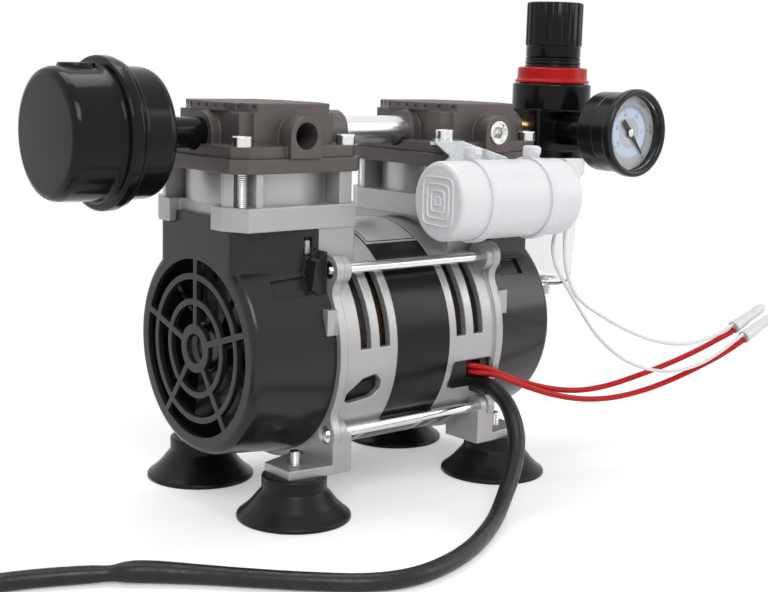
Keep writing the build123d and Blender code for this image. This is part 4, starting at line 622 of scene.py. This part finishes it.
# ----------------------------------------------------------------- silencer
LEFTWARD = (-1, 0, 0)
LINE = (0, 0, PORT_Z)
can_profile = rounded([
    (0, 156.4), (23.4, 156.4), (25.7, 155.4), (26.7, 153.2), (27.2, 137.0), (27.8, 134.9),
    (30.6, 134.7), (31.3, 133.9), (31.3, 129.6), (30.7, 128.9), (25.4, 128.9), (24.7, 134.6),
    (24.7, 154.4), (0, 154.4)], 0.8)
piece("silencer_shell", [turned(can_profile, LINE, LEFTWARD, 128)], "black_housing",
      replaces=("silencer_can",))
base_profile = rounded([
    (30.3, 128.6), (30.3, 127.0), (29.4, 126.4), (27.9, 126.2), (27.3, 125.4), (27.0, 114.4),
    (26.3, 112.2), (24.6, 111.1), (8.4, 111.0), (6.6, 109.6), (6.6, 85.0), (5.65, 85.0),
    (5.65, 80.0), (3.5, 80.0), (3.5, 113.0), (23.4, 113.2), (25.0, 115.0), (25.4, 128.6)], 0.6)
piece("silencer_base", [turned(base_profile, LINE, LEFTWARD, 128)], "black_housing",
      replaces=("silencer_cap",))
OUTLET_X = -142.5
outlet_profile = rounded([
    (5.0, 186.5), (10.2, 187.5), (8.6, 190.3), (7.6, 191.6), (7.3, 192.6), (5.3, 192.6),
    (5.0, 192.0)], 0.5)
piece("silencer_outlet", [turned(outlet_profile, (OUTLET_X, 0, 0))], "black_housing")

# --------------------------------------------------------------- fasteners
FOOT_PLACES = [(x, y) for x in (-60, 60) for y in (-37.5, 37.5)]
foot_profile = rounded([
    (2.6, 19.5), (13.6, 19.5), (14.3, 18.8), (14.2, 14.2), (14.4, 12.8), (16.2, 10.6),
    (19.4, 6.6), (22.6, 3.6), (24.9, 1.9), (25.1, 0.6), (24.5, 0.0), (23.4, 0.3), (20.6, 3.0),
    (16.4, 6.8), (12.3, 8.2), (5.5, 9.0), (5.5, 11.0), (2.6, 11.0)], 0.5)
piece("suction_cups", [turned(foot_profile, (x, y, 0), steps=80) for x, y in FOOT_PLACES],
      "foot_rubber", replaces=("suction_feet",))
THREAD_RADIUS, THREAD_PITCH = 2.5, 0.8
stud_profile = [(0, 11.0), *thread(THREAD_RADIUS, 11.0, 29.0, THREAD_PITCH, 0.32), (2.0, 29.5),
                (0, 29.5)]
piece("threaded_studs", [turned(stud_profile, (x, y, 0), steps=32) for x, y in FOOT_PLACES],
      "zinc_steel", replaces=("foot_studs",), sharp=25)

# head screws; the one under the capacitor's bracket sits higher by the sheet
SCREW_X, SCREW_Y = 26.9, 28.9
SCREW_SEAT, BRACKET_SHEET = 160.0, 1.5
screw_parts = []
for head_x in (-HEAD_X, HEAD_X):
    for x in (-SCREW_X, SCREW_X):
        for y in (-SCREW_Y, SCREW_Y):
            raised = head_x > 0 and x < 0 and y < 0
            seat = SCREW_SEAT + BRACKET_SHEET * raised
            screw_profile = [
                (0, 126.0), (2.0, 126.0), *thread(THREAD_RADIUS, 126.5, 151.0, THREAD_PITCH, 0.3),
                (2.4, 151.4), (2.4, seat), (4.3, seat), (4.3, seat + 3.9), (3.9, seat + 4.4),
                (2.5, seat + 4.4), (1.95, seat + 4.3, "hex"), (1.95, seat + 1.8, "hex"),
                (0, seat + 1.6)]
            screw_parts.append(turned(screw_profile, (head_x + x, y, 0), steps=48))
piece("cap_screws", screw_parts, "zinc_steel", replaces=("head_screws",), sharp=25)

FORWARD = (0, -1, 0)
socket_profile = [
    (0, 29.2), (5.6, 29.2), (5.6, 37.4), (5.3, 37.8), (4.5, 37.8), (4.2, 37.1), (3.9, 36.9),
    (3.3, 37.0), (2.75, 36.8, "hex"), (2.75, 31.4, "hex"), (0, 30.8)]
piece("socket_plug", [turned(socket_profile, (HEAD_X, 0, PORT_Z), FORWARD, 48)], "zinc_steel",
      replaces=("port_plug",), sharp=25)

# --------------------------------------------------------------- regulator
REGULATOR = (REGULATOR_X, 0, 0)
knob_profile = [
    (11.6, 200.4), (13.9, 200.4), (14.0, 200.7), (14.0, 206.0), (14.15, 206.2),
    (14.5, 206.3, "fluted"), (14.5, 227.0, "fluted"), (14.1, 227.8, "fluted"), (13.2, 228.1),
    (9.4, 228.15), (9.0, 228.0), (8.6, 228.0), (8.2, 228.2), (0, 228.2), (0, 225.7),
    (11.6, 221.2)]
piece("fluted_knob", [turned(knob_profile, REGULATOR, steps=240)], "black_housing", body="knob",
      replaces=("regulator_knob",), sharp=30)
bonnet_profile = [
    (9.6, 183.0), (15.5, 183.0), (15.5, 187.0), (16.9, 187.0), (14.3, 189.0), (14.3, 195.4),
    (14.3, 196.0), (14.0, 196.3), (14.0, 196.8), (14.3, 197.1), (14.3, 197.9), (13.9, 198.2),
    (13.9, 198.6), (14.2, 198.9), (14.2, 199.7), (13.7, 200.0), (13.5, 200.34), (11.4, 200.34),
    (11.4, 221.0), (3.5, 221.0), (3.5, 218.0), (9.6, 218.0)]
piece("bonnet_shell", [turned(bonnet_profile, REGULATOR, steps=96)], "black_housing",
      replaces=("regulator_bonnet",))
ring_profile = rounded([
    (14.35, 189.3), (16.9, 187.3), (19.1, 187.3), (19.1, 188.4), (18.0, 189.3), (17.9, 194.4),
    (17.1, 195.2), (14.35, 195.2)], 0.35)
piece("ring_nut", [turned(ring_profile, REGULATOR, steps=96)], "red_plastic",
      replaces=("regulator_ring_nut",))
bowl_profile = rounded([
    (19.0, 149.4), (19.0, 141.2), (18.2, 140.4), (16.6, 138.0), (15.6, 112.0), (14.4, 87.0),
    (13.4, 83.8), (11.2, 82.5), (2.66, 82.5), (2.66, 84.5), (10.4, 84.5), (11.8, 85.6),
    (12.5, 88.0), (13.8, 112.0), (14.6, 138.0), (14.6, 149.4)], 0.8)
piece("clear_bowl_shell", [turned(bowl_profile, REGULATOR, steps=96)], "clear_bowl",
      replaces=("filter_bowl",))

# ------------------------------------------------------------------- gauge
GAUGE = (REGULATOR_X, 0, PORT_Z)
case_profile = rounded([
    (4.95, 36.0), (18.8, 36.0), (19.6, 36.8), (19.7, 45.6), (19.5, 46.0), (19.7, 46.4),
    (20.0, 53.6), (21.1, 54.4), (21.5, 55.2), (21.5, 58.4), (20.7, 59.3), (19.4, 59.3),
    (18.4, 58.6), (18.2, 57.3), (18.6, 57.3), (18.6, 37.0), (4.95, 37.0)], 0.4)
piece("gauge_shell", [turned(case_profile, GAUGE, FORWARD, 128)], "black_plastic",
      replaces=("gauge_case",))
# zero of the scale in degrees from the right, and its sweep
ZERO_ANGLE, SWEEP = -48.0, 264.0
MARKS, ARC_STEPS = 50, 72
# height of the print over the dial, and of the numbers
PRINT, NUMBER_PRINT, NUMBER_LIFT, NUMBER_HEIGHT = 0.06, 0.03, 0.04, 2.5
# radii of the scales, of the ends of their marks (tens, fives, ones) and of their numbers
SCALE_RADIUS, INNER_SCALE_RADIUS = 13.1, 12.2
LONG_REACH, HALF_REACH, SHORT_REACH = 14.6, 14.2, 13.8
INNER_LONG_REACH, INNER_SHORT_REACH = 11.0, 11.5
NUMBERS_RADIUS, INNER_NUMBERS_RADIUS = 16.2, 9.2
# widths of the arcs, long marks and short marks, outside and inside
ARC_WIDTH, LONG_WIDTH, SHORT_WIDTH = 0.18, 0.34, 0.16
INNER_ARC_WIDTH, INNER_LONG_WIDTH, INNER_SHORT_WIDTH = 0.14, 0.24, 0.12


def on_dial(radius, angle, lift):
    """Point on the dial, by its angle from the right."""
    return Vector((REGULATOR_X + radius * math.cos(math.radians(angle)), -DIAL_FACE - lift,
                   PORT_Z + radius * math.sin(math.radians(angle))))


def dial_bar(inner, outer, angle, width):
    """Thin printed stroke along a radius of the dial."""
    half = math.degrees(width / (inner + outer))
    corners = [(inner, -half), (outer, -half), (outer, half), (inner, half)]
    return lofted([[on_dial(r, angle + a, lift) for r, a in corners] for lift in (0.0, PRINT)])


def dial_arc(radius, width):
    """Thin printed arc along the whole sweep of the scale."""
    inner, outer = radius - width / 2, radius + width / 2
    rings = []
    for k in range(ARC_STEPS + 1):
        angle = ZERO_ANGLE + SWEEP * k / ARC_STEPS
        rings.append([on_dial(inner, angle, 0), on_dial(outer, angle, 0),
                      on_dial(outer, angle, PRINT), on_dial(inner, angle, PRINT)])
    return lofted(rings)


def dial_numbers(name, words, radius, material):
    """Plain numbers set round the dial, as one mesh."""
    verts, faces = [], []
    for k, word in enumerate(words):
        angle = ZERO_ANGLE + SWEEP * k / (len(words) - 1)
        font = bpy.data.curves.new(name, "FONT")
        font.body, font.size, font.extrude = word, NUMBER_HEIGHT, NUMBER_PRINT
        font.align_x, font.align_y = "CENTER", "CENTER"
        font.resolution_u = 3
        holder = bpy.data.objects.new(name, font)
        scene.collection.objects.link(holder)
        bpy.context.view_layer.update()
        mesh = bpy.data.meshes.new_from_object(holder)
        tilt = math.radians(angle - 90)
        across = Vector((math.cos(tilt), 0, math.sin(tilt)))
        upward = Vector((-math.sin(tilt), 0, math.cos(tilt)))
        place = on_dial(radius, angle, NUMBER_LIFT)
        shift = len(verts)
        verts += [place + across * v.co.x + upward * v.co.y + Vector((0, -v.co.z, 0))
                  for v in mesh.vertices]
        faces += [tuple(i + shift for i in p.vertices) for p in mesh.polygons]
        bpy.data.objects.remove(holder)
        bpy.data.curves.remove(font)
        bpy.data.meshes.remove(mesh)
    piece(name, [(verts, faces)], material)


dial_profile = [(0.86, 52.2), (18.5, 52.2), (18.5, DIAL_FACE), (0.86, DIAL_FACE)]
piece("dial_disc", [turned(dial_profile, GAUGE, FORWARD, 96)], "dial_silver",
      replaces=("gauge_dial",))
black_marks = [dial_arc(SCALE_RADIUS, ARC_WIDTH)]
blue_marks = [dial_arc(INNER_SCALE_RADIUS, INNER_ARC_WIDTH)]
for k in range(MARKS + 1):
    mark_angle = ZERO_ANGLE + SWEEP * k / MARKS
    long_mark, half_mark = k % 10 == 0, k % 5 == 0
    reach = LONG_REACH if long_mark else HALF_REACH if half_mark else SHORT_REACH
    black_marks.append(dial_bar(SCALE_RADIUS, reach, mark_angle,
                                LONG_WIDTH if long_mark else SHORT_WIDTH))
    if k % 2 == 0:
        blue_marks.append(dial_bar(INNER_LONG_REACH if long_mark else INNER_SHORT_REACH,
                                   INNER_SCALE_RADIUS, mark_angle,
                                   INNER_LONG_WIDTH if long_mark else INNER_SHORT_WIDTH))
piece("dial_scale", black_marks, "needle_black")
piece("dial_inner_scale", blue_marks, "ink_blue")
dial_numbers("dial_numbers", ["0", "0.02", "0.04", "0.06", "0.08", "0.1"], NUMBERS_RADIUS,
             "needle_black")
dial_numbers("dial_inner_numbers", ["0", "15", "30", "45", "60", "76"], INNER_NUMBERS_RADIUS,
             "ink_blue")
hub_profile = rounded([(0, 54.3), (2.0, 54.3), (2.0, 54.8), (1.2, 55.1), (0, 55.1)], 0.25)
piece("needle_hub", [turned(hub_profile, GAUGE, FORWARD, 32)], "zinc_steel", body="needle")

# --------------------------------------------------------------- capacitor
CAP_LEFT = Vector((-2.0, -60.0, 136.8))
CAP_YAW = math.radians(-4.0)
CAP_AXIS = Vector((math.cos(CAP_YAW), math.sin(CAP_YAW), 0))
CAP_BACK = Vector((-math.sin(CAP_YAW), math.cos(CAP_YAW), 0))
CAP_RADIUS, CAP_LENGTH = 17.5, 70.0
RIDGES, RIDGE_WIDTH, RIDGE_HEIGHT = (2.2, 5.0, 7.9, 10.9), 0.9, 0.45
ridges = []
for half in RIDGES:
    ridges += [(half - RIDGE_WIDTH, 0, "square"),
               (half - RIDGE_WIDTH * 0.75, -RIDGE_HEIGHT, "square"),
               (half - RIDGE_WIDTH * 0.25, -RIDGE_HEIGHT, "square"), (half, 0, "square")]
capacitor_profile = rounded([
    (0, 0), *ridges, (15.6, 0.1), (16.9, 0.7), (CAP_RADIUS, 2.0), (CAP_RADIUS, 68.2),
    (17.0, 69.6), (16.0, CAP_LENGTH), (15.2, 69.8), (14.9, 68.9), (0, 68.9)], 0.3)
piece("capacitor_can", [turned(capacitor_profile, CAP_LEFT, CAP_AXIS, 96)], "white_plastic",
      replaces=("run_capacitor",))
TIES = (18.5, 53.0)
TIE_HALF, TIE_HEAD, TIE_TONGUE = 2.4, (5.6, 7.0, 5.3), (4.2, 1.4, 3.0)
TIE_HEAD_LIFT, TONGUE_LIFT, TONGUE_OUT = 3.35, 0.6, 3.6
tie_turn = Matrix((CAP_AXIS, CAP_BACK, Vector((0, 0, 1)))).transposed().to_4x4()
tie_parts = []
for along in TIES:
    band = rounded([
        (CAP_RADIUS, along - TIE_HALF), (18.7, along - TIE_HALF), (18.85, along),
        (18.7, along + TIE_HALF), (CAP_RADIUS, along + TIE_HALF)], 0.5)
    tie_parts.append(turned(band, CAP_LEFT, CAP_AXIS, 96))
    head = CAP_LEFT + CAP_AXIS * along + Vector((0, 0, CAP_RADIUS + TIE_HEAD_LIFT))
    tongue = head + Vector((0, 0, TONGUE_LIFT)) - CAP_BACK * TONGUE_OUT
    tie_parts.append(block(TIE_HEAD, head, 1.2, tie_turn))
    tie_parts.append(block(TIE_TONGUE, tongue, 0.4, tie_turn))
piece("tie_straps", tie_parts, "white_plastic", replaces=("cable_ties",))

# ------------------------------------------------------------ rating plate
PLATE_FACE = (52.5, 52.64)
PLATE_HALF, PLATE_LINE = 14.3, 0.6
PLATE_START, PLATE_END = 59.0, 99.0


def shell_strip(start_x, end_x, start_angle, end_angle, radii=PLATE_FACE):
    """Curved strip about the shaft between two radii; its angles count up from the front."""
    steps = max(2, int(abs(end_angle - start_angle)))
    inner, outer = radii
    rings = []
    for k in range(steps + 1):
        angle = math.radians(start_angle + (end_angle - start_angle) * k / steps)
        rings.append([(x, -r * math.cos(angle), SHAFT_Z + r * math.sin(angle))
                      for r, x in ((inner, start_x), (inner, end_x), (outer, end_x),
                                   (outer, start_x))])
    return lofted(rings)


piece("plate_border", [
    shell_strip(-PLATE_HALF, PLATE_HALF, PLATE_START, PLATE_START + PLATE_LINE),
    shell_strip(-PLATE_HALF, PLATE_HALF, PLATE_END - PLATE_LINE, PLATE_END),
    shell_strip(-PLATE_HALF, -PLATE_HALF + PLATE_LINE, PLATE_START, PLATE_END),
    shell_strip(PLATE_HALF - PLATE_LINE, PLATE_HALF, PLATE_START, PLATE_END)], "black_plastic")

# rubber boot inside the left bell, seen through its service opening
piece("terminal_boot", [
    shell_strip(-43.2, -22.6, -27.5, -9.5, (45.6, 48.3)),
    shell_strip(-40.5, -26.0, -22.0, -14.5, (48.2, 49.4))], "foot_rubber")

# ------------------------------------------------- small parts of the frame
# (size, place, eased edge) of a hook's finger and of its root
HOOK = (((2.4, 1.6, 6.0), (52.9, 34.2, 117.2), 0.5), ((6.0, 1.4, 3.0), (50.5, 33.4, 115.6), 0.4))
hook_parts = [block(size, (side_x * x, side_y * y, z), ease)
              for side_x in (-1, 1) for side_y in (-1, 1) for size, (x, y, z), ease in HOOK]
piece("frame_hooks", hook_parts, "cast_alloy")

# -------------------------------------------------------- floor and lights
FLOOR_HALF = 6.0
FLOOR_COLOUR, FLOOR_GLOW = (0.86, 0.86, 0.87, 1), 0.34
# the floor keeps its shadows near the object and fades into the white room further out
FLOOR_CENTRE, FADE_FROM, FADE_TO = (-0.03, 0, 0), 0.26, 0.62
WHITE = (1, 1, 1, 1)
# strength of the room's light on the object, where what is seen of it is white
ROOM_LIGHT = 0.38


def seen_directly(g):
    """1 for rays from the camera, a reflection or a clear part, 0 for light."""
    path = g.add("LightPath")
    some = g.math("MAXIMUM", path.outputs["Is Camera Ray"], path.outputs["Is Glossy Ray"])
    return g.math("MAXIMUM", some, path.outputs["Is Transmission Ray"])


floor_mesh = bpy.data.meshes.new("floor")
floor_corners = [(x * FLOOR_HALF, y * FLOOR_HALF, 0)
                 for x, y in ((-1, -1), (1, -1), (1, 1), (-1, 1))]
floor_mesh.from_pydata(floor_corners, [], [(0, 1, 2, 3)])
floor = bpy.data.objects.new("floor", floor_mesh)
scene.collection.objects.link(floor)
floor_mesh.materials.append(bpy.data.materials.new("floor"))
g = Graph(floor_mesh.materials[0])
lit = g.add("BsdfDiffuse", {"Color": FLOOR_COLOUR})
glow = g.add("Emission", {"Color": WHITE,
                          "Strength": g.math("MULTIPLY", seen_directly(g), FLOOR_GLOW)})
both = g.add("AddShader", {0: lit.outputs[0], 1: glow.outputs[0]})
away = g.distance(g.add("TexCoord").outputs["Object"], FLOOR_CENTRE)
faded = g.math("MULTIPLY", seen_directly(g), g.ranged(away, FADE_FROM, FADE_TO, 0, 1))
g.finish(g.add("MixShader", {0: faded, 1: both.outputs[0],
                             2: g.add("BsdfTransparent").outputs[0]}))

world = bpy.data.worlds.new("studio")
scene.world = world
g = Graph(world, "OutputWorld")
g.finish(g.add("Background", {
    "Color": WHITE, "Strength": g.ranged(seen_directly(g), 0, 1, ROOM_LIGHT, 1.0)}))

# (place, aim, width, height, watts)
LAMPS = {
    "key": ((-0.9, -1.5, 1.5), (0, 0, 0.08), 1.0, 1.0, 21.0),
    "fill": ((1.6, -1.2, 0.9), (0, 0, 0.08), 1.0, 1.2, 9.0),
    "top": ((0.1, 0.5, 1.9), (0, 0, 0.1), 1.4, 1.0, 14.0),
}
for name, (place, aim, width, height, watts) in LAMPS.items():
    data = bpy.data.lights.new(name, "AREA")
    data.shape, data.size, data.size_y, data.energy = "RECTANGLE", width, height, watts
    lamp = bpy.data.objects.new(name, data)
    scene.collection.objects.link(lamp)
    lamp.location = place
    lamp.rotation_euler = (Vector(aim) - Vector(place)).to_track_quat("-Z", "Y").to_euler()
scene.view_settings.view_transform = "Standard"
